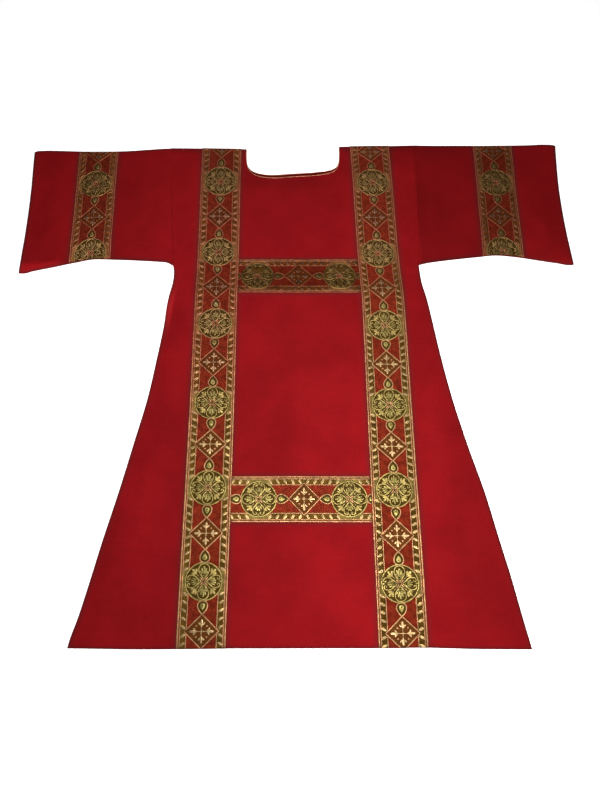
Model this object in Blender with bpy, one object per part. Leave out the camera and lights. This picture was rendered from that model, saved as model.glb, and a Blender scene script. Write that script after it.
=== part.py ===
"""A dalmatic laid flat on a table with its front upwards, one object for each sewn piece.

X runs across the garment, Y from the hem towards the neck and Z up from the table.
The origin is on the table, in the middle of the garment's outline.
Left and right are those of someone who looks at the front.

A place on the garment is given by x, its distance from the centre line, and by drop, its
distance below the shoulder line.  Each panel is a grid of such places.  Its columns run
between guide lines (side edges, edges of the galloon bands, neck) and its rows between
guide drops (neck corner, edges of the crossbars, hem), so a band is made from the panel's
own points, moved out.
"""

import math

import bmesh
import bpy
import numpy as np

# Cloth and trim, in metres
CLOTH = 0.0016                # wall of the red cloth
GAP = 0.0003                  # space left between neighbouring pieces
GALLOON = 0.0008              # wall of the gold galloon
GALLOON_WIDTH = 0.108
PIPING_RADIUS = 0.0008
FOLD_RADIUS = CLOTH + GAP / 2   # outside radius of a pressed fold, half the height of two layers
FRONT_FACE = 2 * CLOTH + GAP    # height of the front's face where it lies flat on the back

# Overall layout, in metres
SHOULDER_Y = 0.6597           # Y of the shoulder line
CENTRE_X = 0.0021             # the outline's middle, to the right of the garment's centre line
HEM_DROP = 1.3085             # drop of the hem on the centre line
ROW_SLOPE = 0.0125            # how much the rows below the arms run down towards +X
ROW_SLOPE_START = 0.35        # drop where the rows have their whole slope

# How much lower the rows hang at x than on an even garment: at the shoulder line, along the
# neck's base and at the hem, one eased into the next
FALL_COLUMNS = ("x", "shoulder", "neck", "hem")
FALL_TABLE = (
    (-0.500, 0.0031, 0.0005, 0.0004),
    (-0.455, 0.0031, 0.0005, 0.0011),
    (-0.345, 0.0031, 0.0005, 0.0025),
    (-0.260, 0.0053, 0.0020, 0.0020),
    (-0.200, 0.0074, 0.0035, 0.0014),
    (-0.132, 0.0088, 0.0038, 0.0005),
    (-0.066, 0.0070, 0.0050, 0.0005),
    (-0.012, 0.0050, 0.0011, 0.0004),
    (0.043, 0.0045, -0.0018, 0.0003),
    (0.075, 0.0040, -0.0034, 0.0002),
    (0.100, 0.0039, -0.0024, 0.0002),
    (0.120, 0.0038, 0.0008, 0.0002),
    (0.196, 0.0036, -0.0006, 0.0000),
    (0.262, 0.0034, 0.0000, -0.0012),
    (0.320, 0.0023, 0.0000, 0.0002),
    (0.390, 0.0023, 0.0000, 0.0017),
    (0.500, 0.0023, 0.0000, 0.0023),
)
FALL_SHOULDER_RUN = 0.09      # the shoulder's share has eased out at this drop
FALL_NECK_DROPS = (0.12, 0.30)   # the neck's share eases out between these
FALL_HEM_DROPS = (1.00, 1.30)    # the hem's share eases in between these

# Neck opening: a superellipse, |x / half width| ** power + (drop / depth) ** power = 1
NECK_POWER = 4.6
NECK_HALF_LEFT = 0.1335
NECK_HALF_RIGHT = 0.1235
NECK_DEPTH_FRONT = 0.101
NECK_DEPTH_BACK = 0.090
NECK_CORNER_ANGLE = math.radians(32.2)   # where the upright side turns into the base
NECK_CALM = 0.060             # rows are level again this far below the neck's corner
NECK_FADE = 0.45              # how far the cloth lies flat round the neck, in neck sizes

# The galloon's places
UPPER_BAR_DROPS = (0.3574, 0.4572)
LOWER_BAR_DROPS = (0.9310, 1.0385)

# Centre lines of the two upright bands: drop, x of the left one, x of the right one
CLAVUS_COLUMNS = ("drop", "left", "right")
CLAVUS_TABLE = (
    (0.000, 0.2000, 0.2065),
    (0.120, 0.2003, 0.2090),
    (0.350, 0.2018, 0.2145),
    (0.500, 0.2035, 0.2200),
    (0.750, 0.2060, 0.2210),
    (1.310, 0.2155, 0.2230),
)

# Side edges of the body below the arms: drop, distance of the left and of the right edge
UNDERARM_DROP = 0.372
ARMHOLE_AT_SHOULDER = 0.3425
ARMHOLE_AT_UNDERARM = 0.3185
SIDE_COLUMNS = ("drop", "left", "right")
SIDE_TABLE = (
    (0.000, ARMHOLE_AT_SHOULDER, ARMHOLE_AT_SHOULDER),
    (UNDERARM_DROP, ARMHOLE_AT_UNDERARM, ARMHOLE_AT_UNDERARM),
    (0.395, 0.3152, 0.3200),
    (0.418, 0.3155, 0.3220),
    (0.470, 0.3238, 0.3327),
    (0.540, 0.3308, 0.3433),
    (0.600, 0.3412, 0.3517),
    (0.730, 0.3618, 0.3739),
    (0.850, 0.3892, 0.4009),
    (0.970, 0.4175, 0.4320),
    (1.080, 0.4458, 0.4550),
    (1.160, 0.4648, 0.4721),
    (1.245, 0.4860, 0.4880),
    (1.290, 0.4997, 0.4969),
    (1.310, 0.5040, 0.5007),
)

# How far the back peeps out past the front's edge: drop, at the left side, at the right side
BACK_PEEP_COLUMNS = ("drop", "left", "right")
BACK_PEEP_TABLE = (
    (0.400, 0.0000, 0.0000),
    (0.450, 0.0030, 0.0003),
    (0.500, 0.0038, 0.0003),
    (0.560, 0.0022, 0.0003),
    (0.620, 0.0000, 0.0000),
    (1.310, 0.0000, 0.0000),
)

# Edges of the sleeves.  run: 0 at the armhole, 1 at the cuff.  top and under: the drop of the
# fold along the top and of the seam under the arm.  peep: how far the lower layer shows there.
SLEEVE_COLUMNS = ("run", "left_top", "left_under", "left_peep", "right_top", "right_under", "right_peep")
SLEEVE_TABLE = (
    (0.00, 0.0034, 0.3700, 0.0000, 0.0023, 0.3760, 0.0000),
    (0.04, 0.0038, 0.3602, 0.0000, 0.0026, 0.3715, 0.0000),
    (0.12, 0.0058, 0.3567, 0.0000, 0.0033, 0.3660, 0.0000),
    (0.35, 0.0111, 0.3505, 0.0000, 0.0044, 0.3550, 0.0000),
    (0.48, 0.0118, 0.3486, 0.0000, 0.0053, 0.3502, 0.0000),
    (0.62, 0.0109, 0.3579, 0.0006, 0.0053, 0.3558, 0.0006),
    (0.78, 0.0082, 0.3720, 0.0025, 0.0049, 0.3676, 0.0024),
    (0.90, 0.0066, 0.3818, 0.0045, 0.0032, 0.3763, 0.0042),
    (0.97, 0.0073, 0.3888, 0.0055, 0.0039, 0.3815, 0.0045),
    (1.00, 0.0110, 0.3920, 0.0058, 0.0075, 0.3830, 0.0042),
)

# Guide lines across a sleeve: x on the shoulder line and x at the underarm, both from the
# centre line.  The cuff also bows in between its corners.
SLEEVE_LINE_COLUMNS = ("name", "left_top_x", "left_under_x", "right_top_x", "right_under_x")
SLEEVE_LINE_TABLE = (
    ("armhole", 0.3428, 0.3188, 0.3428, 0.3188),
    ("band_inner", 0.4840, 0.4820, 0.4915, 0.4870),
    ("band_outer", 0.5920, 0.5900, 0.5995, 0.5950),
    ("cuff", 0.7162, 0.7165, 0.7207, 0.7207),
)
CUFF_BOW = {"left": 0.0058, "right": 0.0096}

# Lift of the front above the back along the centre, as the cloth lies: drop, lift.
# A swell over the chest, a dip above the upper crossbar and a soft ridge just under it.
LIFT_COLUMNS = ("drop", "lift")
LIFT_TABLE = (
    (0.000, 0.0000),
    (0.040, 0.0035),
    (0.120, 0.0070),
    (0.220, 0.0048),
    (0.320, 0.0016),
    (0.380, 0.0022),
    (0.420, 0.0052),
    (0.457, 0.0088),
    (0.500, 0.0080),
    (0.620, 0.0058),
    (0.850, 0.0042),
    (1.050, 0.0040),
    (1.200, 0.0026),
    (1.310, 0.0000),
)
SIDE_FADE = 0.075             # the lift starts this far inside the side edges

# Long soft ridges of the gores beside the bands: from and to, as x and drop, with their size
RIDGE_COLUMNS = ("name", "x_from", "drop_from", "x_to", "drop_to", "height", "half_width")
RIDGE_TABLE = (
    ("left_gore_upper", -0.300, 0.56, -0.350, 1.05, 0.0040, 0.030),
    ("left_gore_hem", -0.400, 0.92, -0.440, 1.27, 0.0030, 0.032),
    ("right_gore_upper", 0.322, 0.50, 0.330, 0.90, 0.0030, 0.030),
    ("right_gore_hem", 0.312, 0.93, 0.298, 1.28, 0.0036, 0.026),
    ("right_gore_outer", 0.392, 0.98, 0.425, 1.28, 0.0030, 0.030),
)
RIDGE_END = 0.12              # each ridge fades out over this length

# Swell of the sleeves' upper layer
SLEEVE_LIFT = 0.0034
SLEEVE_FADE = 0.06            # the swell starts this far inside the folds
SLEEVE_DIP = 0.0022           # valley along the armhole seam
SLEEVE_DIP_WIDTH = 0.035

# Grid steps between the guide lines and guide drops of a panel
GUIDE_STEPS_FRONT = {"gore": 5, "clavus": 3, "shoulder": 2, "neck": 14}
GUIDE_STEPS_BACK = {"gore": 2, "clavus": 1, "shoulder": 1, "neck": 14}
ROW_STEPS_FRONT = (5, 3, 4, 1, 3, 10, 3, 6)
ROW_STEPS_BACK = (5, 1, 2, 1, 3, 8, 1, 4)
UPPER_BAR_ROWS = (3, 5)       # the guide drops that bound each crossbar
LOWER_BAR_ROWS = (6, 7)
SLEEVE_RUN_STEPS = (5, 3, 5)
SLEEVE_ACROSS_STEPS = 9
FOLD_STEPS = 4
PIPING_SIDES = 6

# Colours (linear RGB) and surface values: name, red, green, blue, roughness, metallic
FINISH_COLUMNS = ("name", "red", "green", "blue", "roughness", "metallic")
FINISH_TABLE = (
    ("red_cloth", 0.330, 0.007, 0.010, 0.80, 0.0),
    ("gold_galloon", 0.300, 0.150, 0.045, 0.45, 0.4),
    ("gold_piping", 0.480, 0.240, 0.100, 0.45, 0.4),
)


def clear_scene():
    """Take every object out of the scene."""
    for thing in list(bpy.data.objects):
        bpy.data.objects.remove(thing, do_unlink=True)


def column_of(table, columns, name):
    """Return one named column of a table as an array."""
    return np.array([row[columns.index(name)] for row in table])


def look_up(table, columns, name, value, key="drop"):
    """Read a table's named column at value, on straight lines between its rows."""
    return np.interp(value, column_of(table, columns, key), column_of(table, columns, name))


def smooth_step(value):
    """Rise smoothly from 0 at value 0 to 1 at value 1."""
    share = np.clip(value, 0.0, 1.0)
    return share * share * (3.0 - 2.0 * share)


def spread(marks, steps):
    """Return marks with the given number of equal steps between each two of them."""
    values = [marks[0]]
    for start, end, count in zip(marks[:-1], marks[1:], steps):
        values += [start + (end - start) * step / count for step in range(1, count + 1)]
    return values


def side_edge(side, drop):
    """Return the distance of the body's left or right edge from the centre line."""
    return look_up(SIDE_TABLE, SIDE_COLUMNS, side, drop)


def neck_half(x):
    """Return the neck's half width on the side where x is."""
    return np.where(x < 0, NECK_HALF_LEFT, NECK_HALF_RIGHT)


def neck_points(first_angle, last_angle, steps, depth):
    """Return x, as a share of the half width, and drop along the neck edge.

    x is given as a share of the half width.  The points are at equal steps of an angle, which
    is 0 where the edge meets the shoulder at +X and pi where it meets it at -X.
    """
    angle = np.linspace(first_angle, last_angle, steps + 1)
    power = 2.0 / NECK_POWER
    share = np.sign(np.cos(angle)) * np.abs(np.cos(angle)) ** power
    return share, depth * np.sin(angle) ** power


def fall(x, drop):
    """Return how much lower the row hangs at a place than on an even garment."""
    shoulder, neck, hem = (look_up(FALL_TABLE, FALL_COLUMNS, name, x, key="x")
                           for name in ("shoulder", "neck", "hem"))
    below_shoulder = smooth_step(drop / FALL_SHOULDER_RUN)
    past_neck = smooth_step((drop - FALL_NECK_DROPS[0]) / (FALL_NECK_DROPS[1] - FALL_NECK_DROPS[0]))
    at_hem = smooth_step((drop - FALL_HEM_DROPS[0]) / (FALL_HEM_DROPS[1] - FALL_HEM_DROPS[0]))
    return (shoulder * (1.0 - below_shoulder) + neck * below_shoulder * (1.0 - past_neck)
            + hem * at_hem)


def front_lift(x, drop):
    """Return how far the front lies above the back at a place.

    The lift along the centre fades towards the side edges and round the neck, and each
    ridge adds a bell across its line that fades out at both ends.
    """
    inward = np.where(x < 0, side_edge("left", drop), side_edge("right", drop)) - np.abs(x)
    neck_size = (np.abs(x / neck_half(x)) ** NECK_POWER
                 + (drop / NECK_DEPTH_FRONT) ** NECK_POWER) ** (1.0 / NECK_POWER)
    fade = smooth_step(inward / SIDE_FADE) * smooth_step((neck_size - 1.0) / NECK_FADE)
    lift = look_up(LIFT_TABLE, LIFT_COLUMNS, "lift", drop) * fade
    for _, x_from, drop_from, x_to, drop_to, height, half_width in RIDGE_TABLE:
        along = (drop - drop_from) / (drop_to - drop_from)
        off_line = x - (x_from + (x_to - x_from) * along)
        end_share = RIDGE_END / (drop_to - drop_from)
        ends = smooth_step(along / end_share) * smooth_step((1.0 - along) / end_share)
        lift = lift + height * np.exp(-(off_line / half_width) ** 2) * ends * smooth_step(inward / 0.03)
    return lift


def body_places(depth, guide_steps, row_steps, peep):
    """Work out a body panel's grid.

    depth is the neck's, peep is 1 where the panel shows past the side edges and 0 where it
    doesn't.  Returns x and drop for each grid point, which cells are cloth, and the numbers of
    the columns and rows that lie on the guide lines and guide drops.
    """
    side_share, side_drop = neck_points(0.0, NECK_CORNER_ANGLE, row_steps[0], depth)
    base_share, base_drop = neck_points(math.pi - NECK_CORNER_ANGLE, NECK_CORNER_ANGLE,
                                        guide_steps["neck"], depth)
    base_x = base_share * neck_half(base_share)
    corner = side_drop[-1]
    guide_drops = (corner, corner + NECK_CALM, UPPER_BAR_DROPS[0], UNDERARM_DROP, UPPER_BAR_DROPS[1],
                   *LOWER_BAR_DROPS, HEM_DROP)
    rows = np.concatenate((side_drop, spread(guide_drops, row_steps[1:])[1:]))
    outer_counts = [guide_steps[name] for name in ("gore", "clavus", "shoulder")]
    counts = [*outer_counts, guide_steps["neck"], *reversed(outer_counts)]
    column_marks = np.concatenate(([0], np.cumsum(counts)))
    row_marks = np.concatenate(([0], np.cumsum(row_steps)))

    clavus = {side: look_up(CLAVUS_TABLE, CLAVUS_COLUMNS, side, rows) for side in ("left", "right")}
    sides = {side: side_edge(side, rows)
             + peep * look_up(BACK_PEEP_TABLE, BACK_PEEP_COLUMNS, side, rows)
             for side in ("left", "right")}
    neck = np.concatenate((side_share, np.full(len(rows) - len(side_share), side_share[-1])))
    half_band = GALLOON_WIDTH / 2
    left_guides = (-sides["left"], -clavus["left"] - half_band, -clavus["left"] + half_band,
                   -neck * NECK_HALF_LEFT)
    right_guides = (neck * NECK_HALF_RIGHT, clavus["right"] - half_band,
                    clavus["right"] + half_band, sides["right"])
    base = np.repeat(base_x[None, 1:-1], len(rows), axis=0)
    x = np.concatenate((np.array(spread(left_guides, outer_counts)).T, base,
                        np.array(spread(right_guides, outer_counts[::-1])).T), axis=1)

    drop = np.repeat(rows[:, None], x.shape[1], axis=1)
    settled = np.clip((rows - corner) / NECK_CALM, 0.0, 1.0)[:, None]
    drop[:, column_marks[3]:column_marks[4] + 1] += (base_drop - corner) * (1.0 - settled) * (
        rows >= corner)[:, None]
    slope = ROW_SLOPE * np.clip(drop / ROW_SLOPE_START, 0.0, 1.0)
    drop = drop + slope * x + fall(x, drop)

    cells = np.ones((x.shape[0] - 1, x.shape[1] - 1), dtype=bool)
    cells[:row_marks[1], column_marks[3]:column_marks[4]] = False
    return x, drop, cells, column_marks, row_marks


def at_height(x, drop, height):
    """Turn places on the garment into points in space."""
    return np.stack((x - CENTRE_X, SHOULDER_Y - drop, np.broadcast_to(height, x.shape)), axis=-1)


def finish_of(name):
    """Return the material of one piece, made from its row in the finish table."""
    row = next(entry for entry in FINISH_TABLE if entry[0] == name)
    values = dict(zip(FINISH_COLUMNS, row))
    material = bpy.data.materials.new(name)
    material.use_nodes = True
    shader = material.node_tree.nodes["Principled BSDF"]
    shader.inputs["Base Color"].default_value = (values["red"], values["green"], values["blue"], 1.0)
    shader.inputs["Roughness"].default_value = values["roughness"]
    shader.inputs["Metallic"].default_value = values["metallic"]
    material.diffuse_color = (values["red"], values["green"], values["blue"], 1.0)
    return material


def add_piece(name, points, faces, finish, smooth_angle=30.0):
    """Make a closed mesh object from points and triangles, with its faces pointing out."""
    mesh = bpy.data.meshes.new(name)
    mesh.from_pydata([tuple(point) for point in points], [], faces)
    editable = bmesh.new()
    editable.from_mesh(mesh)
    loose = [vertex for vertex in editable.verts if not vertex.link_faces]
    bmesh.ops.delete(editable, geom=loose, context="VERTS")
    bmesh.ops.recalc_face_normals(editable, faces=editable.faces)
    editable.to_mesh(mesh)
    editable.free()
    mesh.shade_smooth()
    mesh.set_sharp_from_angle(angle=math.radians(smooth_angle))
    mesh.materials.append(finish_of(finish))
    piece = bpy.data.objects.new(name, mesh)
    bpy.context.scene.collection.objects.link(piece)
    return piece


def split_quad(a, b, c, d):
    """Return the two triangles of a four-cornered face, cut from a to c."""
    return [(a, b, c), (a, c, d)]


def add_wall(name, upper, lower, cells, finish):
    """Make a cloth wall between two grids of points, with an edge all round its cells."""
    rows, columns = upper.shape[:2]
    count = rows * columns
    number = np.arange(count).reshape(rows, columns)
    faces = []
    for row, column in zip(*np.nonzero(cells)):
        corners = (number[row, column], number[row + 1, column],
                   number[row + 1, column + 1], number[row, column + 1])
        corners = tuple(int(corner) for corner in corners)
        faces += split_quad(*corners)
        faces += [tuple(corner + count for corner in reversed(face)) for face in split_quad(*corners)]
        neighbours = ((row, column - 1), (row + 1, column), (row, column + 1), (row - 1, column))
        for side, (near_row, near_column) in enumerate(neighbours):
            inside = 0 <= near_row < rows - 1 and 0 <= near_column < columns - 1
            if inside and cells[near_row, near_column]:
                continue
            start, end = corners[side], corners[(side + 1) % 4]
            faces += split_quad(end, start, start + count, end + count)
    points = np.concatenate((upper.reshape(-1, 3), lower.reshape(-1, 3)))
    return add_piece(name, points, faces, finish)


def add_band(name, panel, rows, columns, end_space, finish="gold_galloon"):
    """Lay a galloon band on part of a panel's grid, from the panel's own points moved out.

    rows and columns are the first and last grid lines under the band, and end_space is what
    is left free at the two ends of its rows.
    """
    patch = panel[rows[0]:rows[1] + 1, columns[0]:columns[1] + 1].copy()
    for edge, inner in ((0, 1), (-1, -2)):
        step = patch[:, inner] - patch[:, edge]
        length = np.linalg.norm(step, axis=-1, keepdims=True)
        patch[:, edge] += step / length * end_space
    lower = patch + np.array((0.0, 0.0, GAP))
    upper = patch + np.array((0.0, 0.0, GAP + GALLOON))
    cells = np.ones((patch.shape[0] - 1, patch.shape[1] - 1), dtype=bool)
    return add_wall(name, upper, lower, cells, finish)


def add_tube(name, outer, inner, finish):
    """Make a tube of cloth from rings of outer and inner points, open at both ends."""
    stations, around = outer.shape[:2]
    count = stations * around
    faces = []
    for station in range(stations - 1):
        for step in range(around):
            following = (step + 1) % around
            quad = (station * around + step, (station + 1) * around + step,
                    (station + 1) * around + following, station * around + following)
            faces += split_quad(*quad)
            faces += [tuple(corner + count for corner in reversed(face)) for face in split_quad(*quad)]
    for station in (0, stations - 1):
        for step in range(around):
            first = station * around + step
            second = station * around + (step + 1) % around
            faces += split_quad(first, second, second + count, first + count)
    points = np.concatenate((outer.reshape(-1, 3), inner.reshape(-1, 3)))
    return add_piece(name, points, faces, finish)


def sleeve_lift(run, across, depth):
    """Return the swell of a sleeve's upper layer.

    run goes from the armhole to the cuff and across from the top fold to the underarm, both
    from 0 to 1; depth is the sleeve's width there.
    """
    inward = np.minimum(across, 1.0 - across) * depth
    length = SLEEVE_LINE_TABLE[-1][1] - ARMHOLE_AT_SHOULDER
    dip = SLEEVE_DIP * np.exp(-(run * length / SLEEVE_DIP_WIDTH) ** 2)
    return (SLEEVE_LIFT - dip) * smooth_step(inward / SLEEVE_FADE) * (1.0 - 0.6 * smooth_step(run * 4 - 3))


def add_sleeve(side, sign):
    """Make one sleeve and the galloon band on it.

    The sleeve is a flattened tube: an upper and a lower layer, joined by a half-round fold
    along the top and another under the arm.
    """
    lines = [(row[SLEEVE_LINE_COLUMNS.index(side + "_top_x")],
              row[SLEEVE_LINE_COLUMNS.index(side + "_under_x")]) for row in SLEEVE_LINE_TABLE]
    top_x, under_x = (np.array(spread([line[end] for line in lines], SLEEVE_RUN_STEPS)) for end in (0, 1))
    run = (top_x - top_x[0]) / (top_x[-1] - top_x[0])
    top, under, peep = (look_up(SLEEVE_TABLE, SLEEVE_COLUMNS, side + part, run, key="run")
                        for part in ("_top", "_under", "_peep"))

    def place(drop, height):
        """Return points along all stations at the given drops and heights."""
        share = (drop - top[:, None]) / (under - top)[:, None]
        x = top_x[:, None] + (under_x - top_x)[:, None] * share
        x = x - CUFF_BOW[side] * 4.0 * share * (1.0 - share) * (run[:, None]) ** 3
        return at_height(sign * x, drop, height)

    across = np.linspace(0.0, 1.0, SLEEVE_ACROSS_STEPS + 1)[None, :]
    depth = (under - top)[:, None]
    lift = sleeve_lift(run[:, None], across, depth)
    upper_start = (top + FOLD_RADIUS)[:, None]
    upper_end = (under - FOLD_RADIUS - peep)[:, None]
    lower_end = (under - FOLD_RADIUS)[:, None]
    upper_drop = upper_start + (upper_end - upper_start) * across
    lower_drop = lower_end + (upper_start - lower_end) * across

    rings = []
    turn = np.linspace(0.0, math.pi, FOLD_STEPS + 1)[None, 1:-1]
    for reach, upper_height, lower_height in ((FOLD_RADIUS, FRONT_FACE, 0.0),
                                              (GAP / 2, CLOTH + GAP, CLOTH)):
        under_drop = lower_end + reach * np.sin(turn) - peep[:, None] * (1.0 + np.cos(turn)) / 2
        top_drop = upper_start - reach * np.sin(turn)
        height_down = FOLD_RADIUS + reach * np.cos(turn)
        rings.append(np.concatenate((
            place(upper_drop, upper_height + lift),
            place(under_drop, np.broadcast_to(height_down, under_drop.shape)),
            place(lower_drop, np.full_like(lower_drop, lower_height)),
            place(top_drop, np.broadcast_to(FOLD_RADIUS - reach * np.cos(turn), top_drop.shape)),
        ), axis=1))
    outer, inner = rings
    add_tube("sleeve_" + side, outer, inner, "red_cloth")

    upper_face = outer[:, :SLEEVE_ACROSS_STEPS + 1].transpose(1, 0, 2)
    first = SLEEVE_RUN_STEPS[0]
    last = first + SLEEVE_RUN_STEPS[1]
    add_band("sleeve_band_" + side, upper_face, (0, SLEEVE_ACROSS_STEPS), (first, last), 0.0)


def add_neck_piping(name, panel, column_marks, row_marks):
    """Run a thin cord along a panel's neck edge, from the edge's own points moved into the opening.

    Each ring lies in the plane that halves the corner of the edge, so the cord keeps its
    thickness and its space to the cloth.
    """
    left, right = column_marks[3:5]
    corner_row = row_marks[1]
    edge = np.concatenate((panel[:corner_row, left], panel[corner_row, left:right + 1],
                           panel[corner_row - 1::-1, right]))
    steps = np.diff(edge[:, :2], axis=0)
    steps /= np.linalg.norm(steps, axis=-1, keepdims=True)
    before = np.concatenate((steps[:1], steps))
    after = np.concatenate((steps, steps[-1:]))
    sideways = np.stack((-(before + after)[:, 1], (before + after)[:, 0]), axis=-1)
    sideways *= 2.0 / np.sum((before + after) ** 2, axis=-1, keepdims=True)
    turn = np.arange(PIPING_SIDES) * 2.0 * math.pi / PIPING_SIDES
    reach = GAP + PIPING_RADIUS * (1.0 + np.cos(turn))
    flat = edge[:, None, :2] + sideways[:, None, :] * reach[None, :, None]
    heights = (edge[:, 2] - CLOTH / 2)[:, None] + PIPING_RADIUS * np.sin(turn)[None, :]
    rings = np.concatenate((flat, heights[..., None]), axis=-1)
    stations, around = rings.shape[:2]
    faces = []
    for station in range(stations - 1):
        for step in range(around):
            following = (step + 1) % around
            faces += split_quad(station * around + step, station * around + following,
                                (station + 1) * around + following, (station + 1) * around + step)
    last = (stations - 1) * around
    faces += [(0, step + 1, step) for step in range(1, around - 1)]
    faces += [(last, last + step, last + step + 1) for step in range(1, around - 1)]
    add_piece(name, rings.reshape(-1, 3), faces, "gold_piping", smooth_angle=70.0)


def add_body():
    """Make the back, the front on top of it and the galloon bands of the front."""
    x, drop, cells, column_marks, row_marks = body_places(
        NECK_DEPTH_BACK, GUIDE_STEPS_BACK, ROW_STEPS_BACK, 1.0)
    back = at_height(x, drop, CLOTH)
    add_wall("body_back", back, back - np.array((0.0, 0.0, CLOTH)), cells, "red_cloth")
    add_neck_piping("neck_piping_back", back, column_marks, row_marks)

    x, drop, cells, column_marks, row_marks = body_places(
        NECK_DEPTH_FRONT, GUIDE_STEPS_FRONT, ROW_STEPS_FRONT, 0.0)
    face = at_height(x, drop, FRONT_FACE + front_lift(x, drop))
    add_wall("body_front", face, face - np.array((0.0, 0.0, CLOTH)), cells, "red_cloth")
    add_neck_piping("neck_piping_front", face, column_marks, row_marks)

    all_rows = (0, row_marks[-1])
    add_band("clavus_left", face, all_rows, column_marks[1:3], 0.0)
    add_band("clavus_right", face, all_rows, column_marks[5:7], 0.0)
    between = (column_marks[2], column_marks[5])
    add_band("crossbar_upper", face, row_marks[list(UPPER_BAR_ROWS)], between, GAP)
    add_band("crossbar_lower", face, row_marks[list(LOWER_BAR_ROWS)], between, GAP)


def main():
    """Make every piece of the dalmatic."""
    clear_scene()
    add_body()
    add_sleeve("left", -1.0)
    add_sleeve("right", 1.0)


main()
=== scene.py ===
"""Looks of a dalmatic laid flat with its front upwards: red cloth, woven gold galloon and neck piping.

Every panel is a thin cloth shell on the form of its solid, with soft creases placed one by one.
Each galloon band is a woven ground with raised gold thread work on it, laid on the cloth.

A place on the garment is given in metres by x, its distance from the centre line, and by drop,
its distance below the shoulder line.  A place on a band is given in band widths by u, across
the band from -0.5 to 0.5, and by v, along it.  Left and right are those of someone who looks
at the front.
"""

import logging
import math
from dataclasses import dataclass, field
from enum import Enum

import bmesh
import bpy
import numpy as np
from mathutils import Euler, Matrix, Vector


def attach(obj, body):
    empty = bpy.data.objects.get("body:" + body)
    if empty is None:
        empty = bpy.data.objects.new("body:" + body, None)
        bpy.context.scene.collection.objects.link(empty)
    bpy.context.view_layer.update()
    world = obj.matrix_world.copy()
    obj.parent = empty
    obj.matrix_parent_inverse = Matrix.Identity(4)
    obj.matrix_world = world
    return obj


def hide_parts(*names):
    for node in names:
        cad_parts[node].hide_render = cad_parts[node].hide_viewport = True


Array = np.ndarray
Triple = tuple[float, float, float]
Colour = Triple
Material = bpy.types.Material
Node = bpy.types.Node
Piece = bpy.types.Object
Socket = bpy.types.NodeSocket
Pair = tuple[float, float]
Row = tuple[float, ...]
Rows = tuple[Row, ...]
Tree = bpy.types.NodeTree
LOG = logging.getLogger("dalmatic")
BODY = "root"

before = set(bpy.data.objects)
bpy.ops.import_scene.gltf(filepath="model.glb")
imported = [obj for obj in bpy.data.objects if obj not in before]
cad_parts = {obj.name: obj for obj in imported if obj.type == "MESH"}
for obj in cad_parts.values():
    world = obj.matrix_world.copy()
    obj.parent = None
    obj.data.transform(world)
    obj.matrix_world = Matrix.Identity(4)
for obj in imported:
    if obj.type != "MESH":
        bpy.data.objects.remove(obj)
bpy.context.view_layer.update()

CLOTH = 0.0016
GAP = 0.0003
GALLOON = 0.0008
BAND_WIDTH = 0.108
FOLD_RADIUS = CLOTH + GAP / 2
FRONT_FACE = 2 * CLOTH + GAP
REPEAT = 1.94
PITCH = REPEAT * BAND_WIDTH
# Where, up the garment, the bands' painted shade starts and where it is full.
PAINTED_SHADE_FROM, PAINTED_SHADE_TO = -0.15, 0.3

# Painted shade along an outline: its depth, its width, and how much narrower it is at the hem
# and at a sleeve's top.  The right flank gets more painted shade.  The shade map holds distances
# up to FAR.
OUTLINE_PAINTED_SHADE = 0.18
OUTLINE_WIDTH = 0.0075
HEM_NARROWER = 2.0
TOP_NARROWER = 1.2
RIGHT_FLANK_PAINTED_SHADE = 0.14
FAR = 0.05

# How the gloss of the threads is turned, and how round and how steep a pressed fold's crest is.
THREAD_TURN = 0.232
CREST = 0.2
CREST_FALL = 1.6


class Side(Enum):
    """The two sides of the garment, as seen by someone who looks at its front."""

    LEFT = "left"
    RIGHT = "right"

    @property
    def sign(self) -> float:
        """Return -1 for the left and 1 for the right."""
        return -1.0 if self is Side.LEFT else 1.0

    def pick(self, pair: tuple) -> object:
        """Return this side's part of a pair for the left and the right."""
        return pair[self is Side.RIGHT]


class CreaseKind(Enum):
    """How a crease rises from the cloth: rounded like a roll, or with a crest like a pressed fold."""

    ROLL = "roll"
    PRESSED = "pressed"


class Thread(Enum):
    """The woven threads of the galloon; each value is the number of its material slot."""

    LINE = 0
    RING = 1
    LEAF = 2
    FLEUR = 3
    ROPE = 4
    OLIVE = 5
    MAROON = 6
    STITCH = 7


# --- Arrays and meshes ---


def smooth_step(value: Array) -> Array:
    """Return 3t^2 - 2t^3 of value held between 0 and 1."""
    share = np.clip(value, 0.0, 1.0)
    return share * share * (3.0 - 2.0 * share)


def joined(*parts: Array | float) -> Array:
    """Put parts of one shape, or single numbers, side by side along a new last axis."""
    return np.stack(np.broadcast_arrays(*parts), axis=-1)


def once_round(steps: int) -> Array:
    """Return equal steps of angle, once round."""
    return np.linspace(0.0, math.tau, steps, endpoint=False)


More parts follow.
